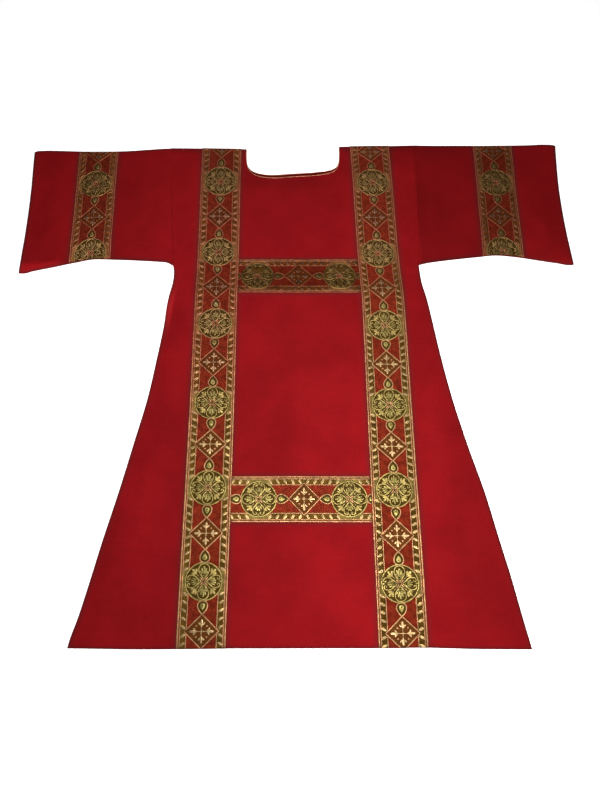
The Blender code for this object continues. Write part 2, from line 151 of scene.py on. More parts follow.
@dataclass(frozen=True)
class Table:
    """A short table with named columns, read on smooth curves between its rows.

    The first column is the key and rises from row to row.
    """

    columns: tuple[str, ...]
    rows: Rows

    def column(self, name: str) -> Array:
        """Return one named column."""
        return np.array([row[self.columns.index(name)] for row in self.rows], float)

    def read(self, name: str, at: Array) -> Array:
        """Read a column with cubic pieces that don't overshoot the rows.

        Args:
            name: The column's name.
            at: The key values to read it at.

        Returns:
            The column's value at each key, held at the first and last rows outside them.
        """
        keys, values = self.column(self.columns[0]), self.column(name)
        steps, rises = np.diff(keys), np.diff(values) / np.diff(keys)
        inner = np.where(rises[1:] * rises[:-1] > 0, 2 * rises[1:] * rises[:-1]
                         / np.where(rises[1:] + rises[:-1] == 0, 1, rises[1:] + rises[:-1]), 0.0)
        slopes = np.concatenate((rises[:1], inner, rises[-1:]))
        at = np.clip(np.asarray(at, float), keys[0], keys[-1])
        index = np.clip(np.searchsorted(keys, at, side="right") - 1, 0, len(steps) - 1)
        part = (at - keys[index]) / steps[index]
        start, end = values[index], values[index + 1]
        bend = (slopes[index] * (1 - part) - slopes[index + 1] * part) * steps[index]
        eased = part * part * (3 - 2 * part)
        return start + (end - start) * eased + part * (1 - part) * bend


def spread(marks: list, steps: tuple[int, ...]) -> list:
    """Put equal steps between marks.

    Args:
        marks: Numbers, or arrays of the same shape.
        steps: The number of steps between each two of them.

    Returns:
        The marks with equal steps between them.
    """
    values = [marks[0]]
    for start, end, count in zip(marks[:-1], marks[1:], steps):
        values += [start + (end - start) * step / count for step in range(1, count + 1)]
    return values


def make_piece(name: str, points: Array, faces: list[Array], materials: list[Material],
               kinds: Array | None = None, uv: Array | None = None,
               uv_name: str = "Pattern") -> Piece:
    """Make a mesh object from whole arrays.

    Args:
        name: The piece's name.
        points: Vertex places, n by 3.
        faces: Arrays of faces, each with one row per face and one column per corner.
        materials: The material slots.
        kinds: The slot of each face, in the order of faces; slot 0 if left out.
        uv: A pattern place for each vertex, n by 2.
        uv_name: The name of the map that holds them.

    Returns:
        The new object, linked to the scene and smooth shaded.
    """
    corners = np.concatenate([rows.ravel() for rows in faces]).astype(np.int32)
    sizes = np.concatenate([np.full(len(rows), rows.shape[1]) for rows in faces]).astype(np.int32)
    starts = np.concatenate(([0], np.cumsum(sizes)[:-1])).astype(np.int32)
    mesh = bpy.data.meshes.new(name)
    mesh.vertices.add(len(points))
    mesh.vertices.foreach_set("co", points.astype(np.float32).ravel())
    mesh.loops.add(len(corners))
    mesh.loops.foreach_set("vertex_index", corners)
    mesh.polygons.add(len(sizes))
    mesh.polygons.foreach_set("loop_start", starts)
    mesh.polygons.foreach_set("loop_total", sizes)
    if kinds is not None:
        mesh.polygons.foreach_set("material_index", kinds.astype(np.int32))
    mesh.update(calc_edges=True)
    mesh.validate()
    if uv is not None:
        layer = mesh.uv_layers.new(name=uv_name)
        layer.data.foreach_set("uv", uv[corners].astype(np.float32).ravel())
    mesh.shade_smooth()
    for material in materials:
        mesh.materials.append(material)
    piece = bpy.data.objects.new(name, mesh)
    bpy.context.scene.collection.objects.link(piece)
    return piece


def grid_faces(cells: Array) -> Array:
    """Make the faces of a grid.

    Args:
        cells: Which cells of a grid are cloth.

    Returns:
        The corners of those cells, counted row by row over the grid's points.
    """
    rows, columns = cells.shape
    number = np.arange((rows + 1) * (columns + 1)).reshape(rows + 1, columns + 1)
    return joined(number[:-1, :-1], number[1:, :-1], number[1:, 1:], number[:-1, 1:])[cells]


def ring_faces(rings: int, around: int) -> tuple[Array, Array, Array]:
    """Join closed rings of points, numbered ring by ring.

    Args:
        rings: The number of rings.
        around: The number of points in each.

    Returns:
        The number of each point, that of the next one round its ring, and the faces.
    """
    number = np.arange(rings * around).reshape(rings, around)
    following = np.roll(number, -1, axis=1)
    faces = joined(number[:-1], following[:-1], following[1:], number[1:])
    return number, following, faces.reshape(-1, 4)


def only_used(points: Array, faces: Array, *others: Array) -> tuple[Array, ...]:
    """Leave out the points that no face uses, and renumber the faces."""
    used, renumbered = np.unique(faces, return_inverse=True)
    return (points[used], renumbered.reshape(faces.shape), *(other[used] for other in others))


def thicken(piece: Piece, wall: float, edge: float, turns_over: bool = False) -> None:
    """Give a single layer its wall, below its face, and round the wall's edges.

    Args:
        piece: The single-layer piece, faces upwards.
        wall: The wall's thickness.
        edge: The radius of its rounded edges.
        turns_over: Whether the wall's underside takes the next material slot.
    """
    solid = piece.modifiers.new("wall", "SOLIDIFY")
    solid.thickness = wall
    solid.offset = -1.0
    solid.material_offset = int(turns_over)
    solid.material_offset_rim = int(turns_over)
    rounded = piece.modifiers.new("edge", "BEVEL")
    rounded.width = edge
    rounded.segments = 3
    rounded.limit_method = "ANGLE"
    rounded.angle_limit = math.radians(50.0)
    rounded.use_clamp_overlap = False


# --- The cut of the garment and how its front lies ---


@dataclass(frozen=True)
class Crease:
    """One long soft ridge, or trough where height is below 0, between two places."""

    x_from: float
    drop_from: float
    x_to: float
    drop_to: float
    height: float
    half_width: float
    kind: CreaseKind = CreaseKind.ROLL
    end_share: float = 0.3

    def rise(self, x: Array, drop: Array) -> Array:
        """Work out the crease: a bell across its line, eased out at both ends.

        Args:
            x: Places across.
            drop: Places down.

        Returns:
            The height there.
        """
        along_x, along_drop = self.x_to - self.x_from, self.drop_to - self.drop_from
        length = math.hypot(along_x, along_drop)
        along = ((x - self.x_from) * along_x + (drop - self.drop_from) * along_drop) / length ** 2
        across = np.abs((x - self.x_from) * along_drop - (drop - self.drop_from) * along_x) / length
        reach = across / self.half_width
        if self.kind is CreaseKind.ROLL:
            bell = np.exp(-reach ** 2)
        else:
            bell = np.exp(-(np.sqrt(reach ** 2 + CREST ** 2) - CREST) * CREST_FALL)
        ends = smooth_step(along / self.end_share) * smooth_step((1.0 - along) / self.end_share)
        return self.height * bell * ends


@dataclass(frozen=True)
class Cut:
    """The garment's outline and lie, as functions of x and drop."""

    shoulder_y: float = 0.6597
    centre_x: float = 0.0021
    hem_drop: float = 1.3085
    row_slope: float = 0.0125
    row_slope_start: float = 0.35
    fall_parts: Rows = ((0.0, 0.09), (0.12, 0.18), (1.0, 0.3))
    neck_power: float = 4.6
    front_depth: float = 0.101
    back_depth: float = 0.09
    neck_left: float = 0.1335
    neck_right: float = 0.1235
    neck_corner: float = 0.93
    neck_calm: float = 0.06
    neck_fade: float = 0.45
    side_fade: float = 0.075
    ridge_fade: float = 0.03
    crease_fade: float = 0.02
    hem_fade: float = 0.04
    hem_share: float = 0.12
    wave_height: float = 0.00022
    upper_bar: Pair = (0.3574, 0.4572)
    lower_bar: Pair = (0.931, 1.0385)
    underarm_drop: float = 0.372
    armhole_top: float = 0.3425
    armhole_under: float = 0.3185
    sides: Table = Table(("drop", "left", "right"), (
        (0.372, 0.3185, 0.3185), (0.395, 0.3152, 0.32), (0.418, 0.3155, 0.322), (0.47, 0.3238, 0.3327),
        (0.54, 0.3308, 0.3433), (0.6, 0.3412, 0.3517), (0.73, 0.3618, 0.3739), (0.85, 0.3892, 0.4009),
        (0.97, 0.4175, 0.432), (1.08, 0.4458, 0.455), (1.16, 0.4648, 0.4721), (1.245, 0.486, 0.488),
        (1.29, 0.4997, 0.4969), (1.31, 0.504, 0.5007),
    ))
    peeps: Table = Table(("drop", "left", "right"), (
        (0.4, 0.0, 0.0), (0.45, 0.003, 0.0003), (0.5, 0.0038, 0.0003), (0.56, 0.0022, 0.0003),
        (0.62, 0.0, 0.0), (1.31, 0.0, 0.0),
    ))
    clavi: Table = Table(("drop", "left", "right"), (
        (0.0, 0.2, 0.2065), (0.12, 0.2003, 0.209), (0.35, 0.2018, 0.2145), (0.5, 0.2035, 0.22),
        (0.75, 0.206, 0.221), (1.31, 0.2155, 0.223),
    ))
    falls: Table = Table(("x", "shoulder", "neck", "hem"), (
        (-0.5, 0.0031, 0.0005, 0.0004), (-0.455, 0.0031, 0.0005, 0.0011), (-0.345, 0.0031, 0.0005, 0.0025),
        (-0.26, 0.0053, 0.002, 0.002), (-0.2, 0.0074, 0.0035, 0.0014), (-0.132, 0.0088, 0.0038, 0.0005),
        (-0.066, 0.007, 0.005, 0.0005), (-0.012, 0.005, 0.0011, 0.0004), (0.043, 0.0045, -0.0018, 0.0003),
        (0.075, 0.004, -0.0034, 0.0002), (0.1, 0.0039, -0.0024, 0.0002), (0.12, 0.0038, 0.0008, 0.0002),
        (0.196, 0.0036, -0.0006, 0.0), (0.262, 0.0034, 0.0, -0.0012), (0.32, 0.0023, 0.0, 0.0002),
        (0.39, 0.0023, 0.0, 0.0017), (0.5, 0.0023, 0.0, 0.0023),
    ))
    lifts: Table = Table(("drop", "lift"), (
        (0.0, 0.0), (0.04, 0.0035), (0.12, 0.007), (0.22, 0.0048), (0.32, 0.0016), (0.38, 0.0022),
        (0.42, 0.0052), (0.457, 0.0088), (0.5, 0.008), (0.62, 0.0058), (0.85, 0.0042), (1.05, 0.004),
        (1.2, 0.0026), (1.31, 0.0),
    ))
    ridges: tuple[Crease, ...] = (
        Crease(-0.3, 0.56, -0.35, 1.05, 0.004, 0.03), Crease(-0.4, 0.92, -0.44, 1.27, 0.003, 0.032),
        Crease(0.322, 0.5, 0.33, 0.9, 0.003, 0.03), Crease(0.312, 0.93, 0.298, 1.28, 0.0036, 0.026),
        Crease(0.392, 0.98, 0.425, 1.28, 0.003, 0.03),
    )
    creases: tuple[Crease, ...] = (
        Crease(0.0, 0.47, -0.002, 1.29, 0.0024, 0.05, CreaseKind.PRESSED, 0.15),
        Crease(-0.342, 0.78, -0.338, 1.02, -0.0016, 0.013),
        Crease(-0.405, 0.928, -0.27, 0.938, -0.0012, 0.009),
        Crease(-0.306, 1.13, -0.3, 1.31, 0.0016, 0.014), Crease(0.361, 1.05, 0.364, 1.31, 0.0018, 0.016),
        Crease(-0.318, 0.365, -0.262, 0.275, -0.0016, 0.009),
        Crease(0.316, 0.385, 0.262, 0.3, -0.0013, 0.01),
        Crease(-0.1, 0.13, -0.13, 0.33, -0.001, 0.02), Crease(0.05, 0.14, 0.1, 0.32, 0.001, 0.024),
        Crease(-0.06, 0.56, -0.1, 0.86, 0.0011, 0.022), Crease(0.11, 0.6, 0.08, 0.9, -0.001, 0.02),
        Crease(-0.09, 1.08, -0.07, 1.29, -0.001, 0.022), Crease(0.09, 1.07, 0.12, 1.3, 0.0011, 0.02),
    )

    def side(self, side: Side, drop: Array) -> Array:
        """Return how far a side edge is from the centre line."""
        armhole = self.armhole_top + (self.armhole_under - self.armhole_top) * drop / self.underarm_drop
        return np.where(drop < self.underarm_drop, armhole, self.sides.read(side.value, drop))

    def clavus(self, side: Side, drop: Array) -> Array:
        """Return x of the centre of an upright band."""
        return side.sign * self.clavi.read(side.value, drop)

    def row(self, x: Array, drop: Array) -> Array:
        """Let a woven row hang.

        Below the arms the rows slope a little.  Each column also hangs lower or higher by what
        the falls table gives for the shoulder, the neck's base and the hem, one eased into the next.

        Args:
            x: Places across.
            drop: The nominal drop of a woven row.

        Returns:
            The drop of that row at x.
        """
        below_shoulder, past_neck, to_hem = (
            smooth_step((drop - start) / length) for start, length in self.fall_parts)
        fall = (self.falls.read("shoulder", x) * (1.0 - below_shoulder)
                + self.falls.read("neck", x) * below_shoulder * (1.0 - past_neck)
                + self.falls.read("hem", x) * to_hem)
        return drop + self.row_slope * np.clip(drop / self.row_slope_start, 0.0, 1.0) * x + fall

    def neck_half(self, x: Array) -> Array:
        """Return the neck's half width on the side where x is."""
        return np.where(x < 0, self.neck_left, self.neck_right)

    def inward(self, x: Array, drop: Array) -> Array:
        """Return how far a place is from the nearer side edge."""
        return np.where(x < 0, self.side(Side.LEFT, drop), self.side(Side.RIGHT, drop)) - np.abs(x)

    def from_bands(self, x: Array, drop: Array) -> Array:
        """Measure how far a place on the body is from the nearest edge of a band.

        Args:
            x: Places across.
            drop: Places down.

        Returns:
            The distance, 0 under a band.
        """
        half = BAND_WIDTH / 2
        centres = {side: self.clavus(side, drop) for side in Side}
        away = np.minimum(np.abs(x - centres[Side.LEFT]), np.abs(x - centres[Side.RIGHT])) - half
        is_middle = (x > centres[Side.LEFT]) & (x < centres[Side.RIGHT])
        for start, end in (self.upper_bar, self.lower_bar):
            ends = self.row(x, np.full_like(x, start)), self.row(x, np.full_like(x, end))
            beyond = np.maximum(ends[0] - drop, drop - ends[1])
            away = np.where(is_middle, np.minimum(away, beyond), away)
        return np.maximum(away, 0.0)

    def waves(self, x: Array, drop: Array) -> Array:
        """Add up a few long sines: the faint unevenness of cloth that lies by itself.

        Args:
            x: Places across.
            drop: Places down.

        Returns:
            Its height.
        """
        sines = np.sin(31.0 * x + 9.0 * drop + 0.4) + np.sin(17.0 * x - 23.0 * drop + 1.9) + 2.6
        sines = sines + 0.7 * np.sin(47.0 * drop + 13.0 * x + 0.8) + 0.5 * np.sin(71.0 * x + 2.6)
        return self.wave_height * sines

    def front_height(self, x: Array, drop: Array) -> Array:
        """Work out the height of the front's upper face: its flat height and its lift.

        The lift along the centre fades towards the side edges and round the neck.  The ridges
        and creases add to it, and all of it stays above 0.

        Args:
            x: Places across.
            drop: Places down.

        Returns:
            The height in metres.
        """
        inward = self.inward(x, drop)
        neck_size = (np.abs(x / self.neck_half(x)) ** self.neck_power
                     + np.clip(drop / self.front_depth, 0.0, None) ** self.neck_power)
        round_neck = smooth_step((neck_size ** (1.0 / self.neck_power) - 1.0) / self.neck_fade)
        lift = self.lifts.read("lift", drop) * smooth_step(inward / self.side_fade) * round_neck
        near_side = smooth_step(inward / self.ridge_fade)
        for ridge in self.ridges:
            lift = lift + ridge.rise(x, drop) * near_side
        edge = smooth_step(inward / self.crease_fade) * round_neck * smooth_step(drop / self.ridge_fade)
        edge = edge * smooth_step((self.hem_drop - drop) / self.hem_fade + self.hem_share)
        for crease in self.creases:
            lift = lift + crease.rise(x, drop) * edge
        return FRONT_FACE + np.maximum(lift + self.waves(x, drop) * edge, 0.0)

    def at(self, x: Array, drop: Array, height: Array | float) -> Array:
        """Turn places on the garment into points in space."""
        return joined(x - self.centre_x, self.shoulder_y - drop, height)


@dataclass(frozen=True)
class Neck:
    """A neck edge: |x / half width| ** power + (drop / depth) ** power = 1."""

    cut: Cut
    depth: float

    def side_drops(self, steps: int) -> Array:
        """Return drops down the upright side, spaced by the superellipse's own angle."""
        angle = np.linspace(0.0, math.acos(self.cut.neck_corner ** (self.cut.neck_power / 2.0)), steps + 1)
        return self.depth * np.sin(angle) ** (2.0 / self.cut.neck_power)

    def side_share(self, drop: Array) -> Array:
        """Return the opening's half width at a drop, as a share of the whole half width."""
        share = 1.0 - np.clip(drop / self.depth, 0.0, 1.0) ** self.cut.neck_power
        return share ** (1.0 / self.cut.neck_power)

    def base_x(self, steps: int) -> Array:
        """Return x along the base from corner to corner, closer together at the corners."""
        share = -self.cut.neck_corner * np.cos(np.linspace(0.0, math.pi, steps + 1))
        return share * self.cut.neck_half(share)

    def base_drop(self, x: Array) -> Array:
        """Return the drop of the base at x."""
        share = 1.0 - np.abs(x / self.cut.neck_half(x)) ** self.cut.neck_power
        return self.depth * share ** (1.0 / self.cut.neck_power)

    def edge(self, steps: int) -> tuple[Array, Array]:
        """Go along the whole edge, from the right shoulder to the left one.

        Args:
            steps: The number of steps.

        Returns:
            x and drop of the points.
        """
        angle = np.linspace(0.0, math.pi, steps + 1)
        power = 2.0 / self.cut.neck_power
        across = np.cos(angle)
        x = self.cut.neck_half(across) * np.sign(across) * np.abs(across) ** power
        return x, self.depth * np.sin(angle) ** power


# --- Shader nodes and finishes ---


@dataclass
class Graph:
    """Adds nodes to one node tree and joins them."""

    tree: Tree

    def feed(self, node: Node, sources: dict[str | int, object]) -> None:
        """Feed sockets or fixed values into a node.

        Args:
            node: The node.
            sources: What goes into each of its sockets; a fixed colour gets its alpha of 1 here.
        """
        for place, source in sources.items():
            target = node.inputs[place]
            if isinstance(source, Socket):
                self.tree.links.new(source, target)
            else:
                target.default_value = (*source, 1.0) if target.type == "RGBA" else source

    def node(self, kind: str, sources: dict[str | int, object] | None = None, **values: object) -> Node:
        """Add a node.

        Args:
            kind: Its type.
            sources: What goes into each of its sockets.
            values: Its properties.

        Returns:
            The new node.
        """
        made = self.tree.nodes.new(kind)
        for name, value in values.items():
            setattr(made, name, value)
        self.feed(made, sources or {})
        return made

    def group(self, tree: Tree, vector: Socket, threads: float = 0.0) -> Node:
        """Place a group, and set how many threads it has per unit where it takes that."""
        sources = {"Vector": vector, "Threads per unit": threads} if threads else {"Vector": vector}
        return self.node("ShaderNodeGroup", sources, node_tree=tree)

    def math(self, operation: str, first: object, second: object = 0.0, third: object = 0.0) -> Socket:
        """Return the output of a Math node."""
        return self.node("ShaderNodeMath", {0: first, 1: second, 2: third}, operation=operation).outputs[0]

    def span(self, value: object, low: float, high: float, to_low: float = 0.0,
             to_high: float = 1.0) -> Socket:
        """Return value eased from one range to another, held at its ends."""
        sources = dict(enumerate((value, low, high, to_low, to_high)))
        return self.node("ShaderNodeMapRange", sources, interpolation_type="SMOOTHSTEP").outputs[0]

    def steps(self, value: object, steps: Rows, tone: object = 1.0) -> Socket:
        """Multiply a tone by a row of steps.

        Args:
            value: The place that the steps are read at.
            steps: Two places and the two factors that the tone eases between from one to the other.
            tone: The tone to start from.

        Returns:
            The product.
        """
        for step in steps:
            tone = self.math("MULTIPLY", self.span(value, *step), tone)
        return tone

    def blend(self, share: object, first: object, second: object) -> Socket:
        """Return two colours mixed, the second one as far as share is 1."""
        return self.node("ShaderNodeMix", {0: share, 6: first, 7: second}, data_type="RGBA").outputs[2]

    def scaled(self, colour: object, factor: object) -> Socket:
        """Return a colour multiplied by a number."""
        return self.node("ShaderNodeVectorMath", {0: colour, "Scale": factor}, operation="SCALE").outputs[0]

    def times(self, first: object, second: object) -> Socket:
        """Return the product of two colours or vectors, part by part."""
        return self.node("ShaderNodeVectorMath", {0: first, 1: second}, operation="MULTIPLY").outputs[0]

    def noise(self, vector: object, scale: float, detail: float = 2.0) -> Socket:
        """Return a noise value about 0.5."""
        sources = {"Vector": vector, "Scale": scale, "Detail": detail}
        return self.node("ShaderNodeTexNoise", sources).outputs["Fac"]

    def parts(self, vector: object) -> tuple[Socket, ...]:
        """Return a vector's x, y and z."""
        return tuple(self.node("ShaderNodeSeparateXYZ", {0: vector}).outputs)

    def bump(self, height: object, depth: float, strength: float) -> Socket:
        """Return the normal of a surface with a height on it."""
        sources = {"Height": height, "Distance": depth, "Strength": strength}
        return self.node("ShaderNodeBump", sources).outputs["Normal"]

    def brushed(self, share: float) -> dict[str, object]:
        """Return what draws gloss out across a band's threads, the way that its pattern map gives."""
        tangent = self.node("ShaderNodeTangent", direction_type="UV_MAP", uv_map="Pattern").outputs[0]
        return {"Tangent": tangent, "Anisotropic": share, "Anisotropic Rotation": THREAD_TURN}


class EffectGroups:
    """The shader node groups that several finishes share, each built once.

    The steps of painted light and shade are places across the garment and the factors on both
    sides of each.
    """

    sleeve_steps: Rows = (
        (-0.62, -0.52, 1.05, 0.945), (-0.46, -0.3, 1.0, 1.135), (-0.22, -0.12, 1.0, 0.925),
        (0.0, 0.12, 1.0, 1.08), (0.22, 0.28, 1.0, 1.03), (0.3195, 0.3285, 1.0, 0.725),
        (0.4, 0.7, 1.0, 1.24))
    painted_hem_steps: Rows = (
        (-0.36, -0.3, 1.0, 0.87), (-0.28, -0.18, 1.0, 1.115), (-0.05, 0.08, 1.0, 1.12),
        (0.13, 0.28, 1.0, 0.93), (0.31, 0.37, 1.0, 0.89))
    painted_band_steps: Rows = ((-0.17, -0.13, 1.0, 1.111), (0.13, 0.17, 1.0, 1.07), (0.34, 0.42, 1.0, 0.92))
    right_armhole: Pair = (0.3195, 0.3285)
    bar_end: Pair = (0.135, 0.165)
    upper_bar_y: float = 0.3312

    def __init__(self) -> None:
        """Build every group."""
        self.weave = self._weave()
        self.slub = self._slub()
        self.glint = self._glint()
        self.tone = self._painted_cloth_light()
        self.band = self._painted_band_light()

    @staticmethod
    def _start(name: str, *outputs: str, threads: float = 0.0) -> tuple[Graph, Node, Node]:
        """Make an empty group with a vector input and named value outputs.

        Args:
            name: The group's name.
            outputs: Names of the outputs.
            threads: Where it isn't 0, the default of one more input, "Threads per unit".

        Returns:
            Its graph, its input node and its output node.
        """
        tree = bpy.data.node_groups.new(name, "ShaderNodeTree")
        tree.interface.new_socket("Vector", in_out="INPUT", socket_type="NodeSocketVector")
        number = "NodeSocketFloat"
        if threads:
            socket = tree.interface.new_socket("Threads per unit", in_out="INPUT", socket_type=number)
            socket.default_value = threads
        for label in outputs:
            tree.interface.new_socket(label, in_out="OUTPUT", socket_type=number)
        graph = Graph(tree)
        return graph, graph.node("NodeGroupInput"), graph.node("NodeGroupOutput")

    def _weave(self) -> Tree:
        """Build plain weave: the product of a sine across and a sine down, one thread to a half wave.

        Returns:
            The group.
        """
        graph, source, target = self._start("plain weave", "Height", threads=1000.0)
        across, down, _ = graph.parts(source.outputs["Vector"])
        turn = graph.math("MULTIPLY", source.outputs["Threads per unit"], math.pi)
        warp = graph.math("SINE", graph.math("MULTIPLY", across, turn))
        weft = graph.math("SINE", graph.math("MULTIPLY", down, turn))
        product = graph.math("MULTIPLY", warp, weft)
        graph.feed(target, {"Height": graph.math("MULTIPLY_ADD", product, 0.5, 0.5)})
        return graph.tree

    def _slub(self) -> Tree:
        """Build thick and thin places of the threads that run across, from noise drawn out along x.

        Returns:
            The group.
        """
        graph, source, target = self._start("slub", "Shade", "Height")
        fine, broad, upright = (
            graph.noise(graph.times(source.outputs["Vector"], scale), 1.0, detail)
            for scale, detail in (((75.0, 420.0, 50.0), 2.0), ((26.0, 120.0, 20.0), 2.0),
                                  ((360.0, 60.0, 50.0), 1.0)))
        both = graph.math("MULTIPLY_ADD", fine, 0.4, graph.math("MULTIPLY", broad, 0.28))
        height = graph.math("MULTIPLY_ADD", fine, 0.7, graph.math("MULTIPLY", upright, 0.3))
        graph.feed(target, {"Shade": graph.math("MULTIPLY_ADD", upright, 0.32, both), "Height": height})
        return graph.tree

    def _painted_cloth_light(self) -> Tree:
        """Build the cloth's painted light and shade across the garment: one run of steps at the sleeves,
        one at the hem.

        The right sleeve is painted darker than the body, from a soft edge at the armhole outwards.

        Returns:
            The group.
        """
        graph, source, target = self._start("cloth tone", "Painted_light_shade")
        across, up, _ = graph.parts(source.outputs["Vector"])
        sleeves = graph.math("SUBTRACT", graph.steps(across, self.sleeve_steps), 1.0)
        body = graph.math("SUBTRACT", graph.steps(across, self.painted_hem_steps), 1.0)
        # Painted light at the hem right of the middle, painted shade on the right shoulder next to the
        # armhole.
        hem = graph.math("MULTIPLY", graph.span(across, -0.22, -0.12, 0.0, 0.1),
                         graph.span(up, -0.6, -0.48, 1.0, 0.0))
        shoulder = graph.math("MULTIPLY", graph.span(across, 0.2, 0.27, 0.0, -0.22),
                              graph.span(across, *self.right_armhole, 1.0, 0.0))
        hem = graph.math("MULTIPLY_ADD", shoulder, graph.span(up, 0.55, 0.63), hem)
        tone = graph.math("MULTIPLY_ADD", sleeves, graph.span(up, 0.246, 0.268), graph.math("ADD", hem, 1.0))
        tone = graph.math("MULTIPLY_ADD", body, graph.span(up, -0.15, 0.08, 1.0, 0.0), tone)
        graph.feed(target, {"Painted_light_shade": tone})
        return graph.tree

    def _painted_band_light(self) -> Tree:
        """Build the band's painted shade and painted light: painted shade towards the shoulders, first on the
        left.

        Returns:
            The group.
        """
        graph, source, target = self._start("band tone", "Painted_shade", "Painted_light_shade")
        across, up, _ = graph.parts(source.outputs["Vector"])
        away = graph.math("ABSOLUTE", across)
        height = graph.math("ADD", up, graph.span(across, -0.3, 0.3, 0.12, -0.12))
        from_bar = graph.math("ABSOLUTE", graph.math("SUBTRACT", up, self.upper_bar_y))
        # The upper crossbar's middle gets half the painted shade.
        within = graph.math("MULTIPLY", graph.span(away, *self.bar_end, 0.5, 0.0),
                            graph.span(from_bar, 0.033, 0.037, 1.0, 0.0))
        painted_shade = graph.math("MULTIPLY", graph.span(height, PAINTED_SHADE_FROM, PAINTED_SHADE_TO),
                          graph.math("SUBTRACT", 1.0, within))
        # Painted light and shade over the upper half: lighter on the left sleeve and along the shoulders,
        # steps across, and extra light in the middle.
        tone = graph.span(across, -0.42, -0.34, 1.25, 0.9)
        tone = graph.math("MULTIPLY", graph.span(up, 0.585, 0.645, 1.0, 1.32), tone)
        tone = graph.math("SUBTRACT", graph.steps(across, self.painted_band_steps, tone), 1.0)
        upper = graph.span(up, -0.15, 0.15)
        bar = graph.math("MULTIPLY", graph.span(away, *self.bar_end, 1.0, 0.0),
                         graph.span(across, 0.055, 0.065, 0.11, 0.32))
        bar = graph.math("ADD", graph.math("MULTIPLY", bar, upper), 1.0)
        graph.feed(target, {"Painted_shade": painted_shade, "Painted_light_shade": graph.math("MULTIPLY_ADD", tone, upper, bar)})
        return graph.tree

    def _glint(self) -> Tree:
        """Build metal thread: slanted ridges of single threads, and the uneven light they catch, which the
        finishes paint into their colours as glints.

        Returns:
            The group.
        """
        graph, source, target = self._start("metal thread", "Ridge", "Sparkle", threads=160.0)
        vector = source.outputs["Vector"]
        across, along, _ = graph.parts(vector)
        slant = graph.math("MULTIPLY_ADD", across, 0.35, along)
        turn = graph.math("MULTIPLY", source.outputs["Threads per unit"], math.tau)
        wave = graph.math("SINE", graph.math("MULTIPLY", slant, turn))
        fine, patchy = (graph.noise(graph.times(vector, scale), 1.0)
                        for scale in ((38.0, 90.0, 1.0), (7.0, 8.0, 1.0)))
        sparkle = graph.math("MULTIPLY_ADD", fine, 0.5, graph.math("MULTIPLY", patchy, 0.5))
        graph.feed(target, {"Ridge": graph.math("MULTIPLY_ADD", wave, 0.5, 0.5),
                            "Sparkle": graph.span(sparkle, 0.36, 0.64)})
        return graph.tree


@dataclass(frozen=True)
class Finish:
    """What all finishes share: a material with its Principled shader and its coordinates."""

    name: str

    def start(self) -> tuple[Material, Graph, Node, Socket, Socket]:
        """Start a material.

        Returns:
            The material, its graph, its Principled shader, the place in space and the one on its map.
        """
        material = bpy.data.materials.new(self.name)
        material.use_nodes = True
        graph = Graph(material.node_tree)
        shader, place = graph.tree.nodes["Principled BSDF"], graph.node("ShaderNodeTexCoord")
        return material, graph, shader, place.outputs["Object"], place.outputs["UV"]

    @staticmethod
    def with_painted_light_and_shade(graph: Graph, colour: object, band: Node, painted_shade: Colour) -> Socket:
        """Multiply a colour by the band's painted light and shade, and by the painted shade tint as far as
        the painted shade reaches.
        """
        tint = graph.blend(band.outputs["Painted_shade"], (1.0, 1.0, 1.0), painted_shade)
        return graph.scaled(graph.times(colour, tint), band.outputs["Painted_light_shade"])


@dataclass(frozen=True)
class RedCloth(Finish):
    """Matt red cloth in plain weave, with slubs in the threads that run across it.

    The shade map gives how far a place is from an outline or a band, where painted shadow darkens
    the cloth, and how much painted light and shade lighten or darken it.
    """

    groups: EffectGroups
    deep: Colour = (0.134, 0.0023, 0.0035)
    bright: Colour = (0.188, 0.0035, 0.0052)
    threads_per_metre: float = 1150.0
    roughness: float = 0.86
    # The colour of the painted shadow along outlines and round the bands, and how far it reaches.
    edge: Colour = (0.113, 0.0056, 0.0064)
    painted_shadow_width: float = 0.0145
    sheen: Colour = (1.0, 0.06, 0.05)

    def build(self) -> Material:
        """Build the cloth: slubs and soft patches between two reds, with painted shadow towards an edge.

        Returns:
            The material.
        """
        material, graph, shader, spot, mapped = self.start()
        slub = graph.group(self.groups.slub, spot)
        weave = graph.group(self.groups.weave, spot, self.threads_per_metre)
        shade = graph.span(slub.outputs["Shade"], 0.26, 0.74, 0.24, 0.76)
        patch = graph.span(graph.noise(spot, 8.0), 0.3, 0.7, -0.3, 0.3)
        colour = graph.blend(graph.math("ADD", shade, patch), self.deep, self.bright)
        # Painted shadow near an outline or a band; the shade map and the cloth tone group then scale the
        # colour with painted light and shade.
        away, painted_light_and_shade, _ = graph.parts(mapped)
        colour = graph.blend(graph.span(away, 0.0, self.painted_shadow_width), self.edge, colour)
        tone = graph.group(self.groups.tone, spot).outputs["Painted_light_shade"]
        height = graph.math("MULTIPLY_ADD", slub.outputs["Height"], 0.6,
                            graph.math("MULTIPLY", weave.outputs["Height"], 0.4))
        graph.feed(shader, {
            "Base Color": graph.scaled(colour, graph.math("MULTIPLY_ADD", tone, painted_light_and_shade, tone)),
            "Roughness": self.roughness, "Specular IOR Level": 0.04, "Sheen Weight": 0.04,
            "Sheen Roughness": 0.5, "Sheen Tint": self.sheen, "Normal": graph.bump(height, 0.0005, 0.45)})
        return material


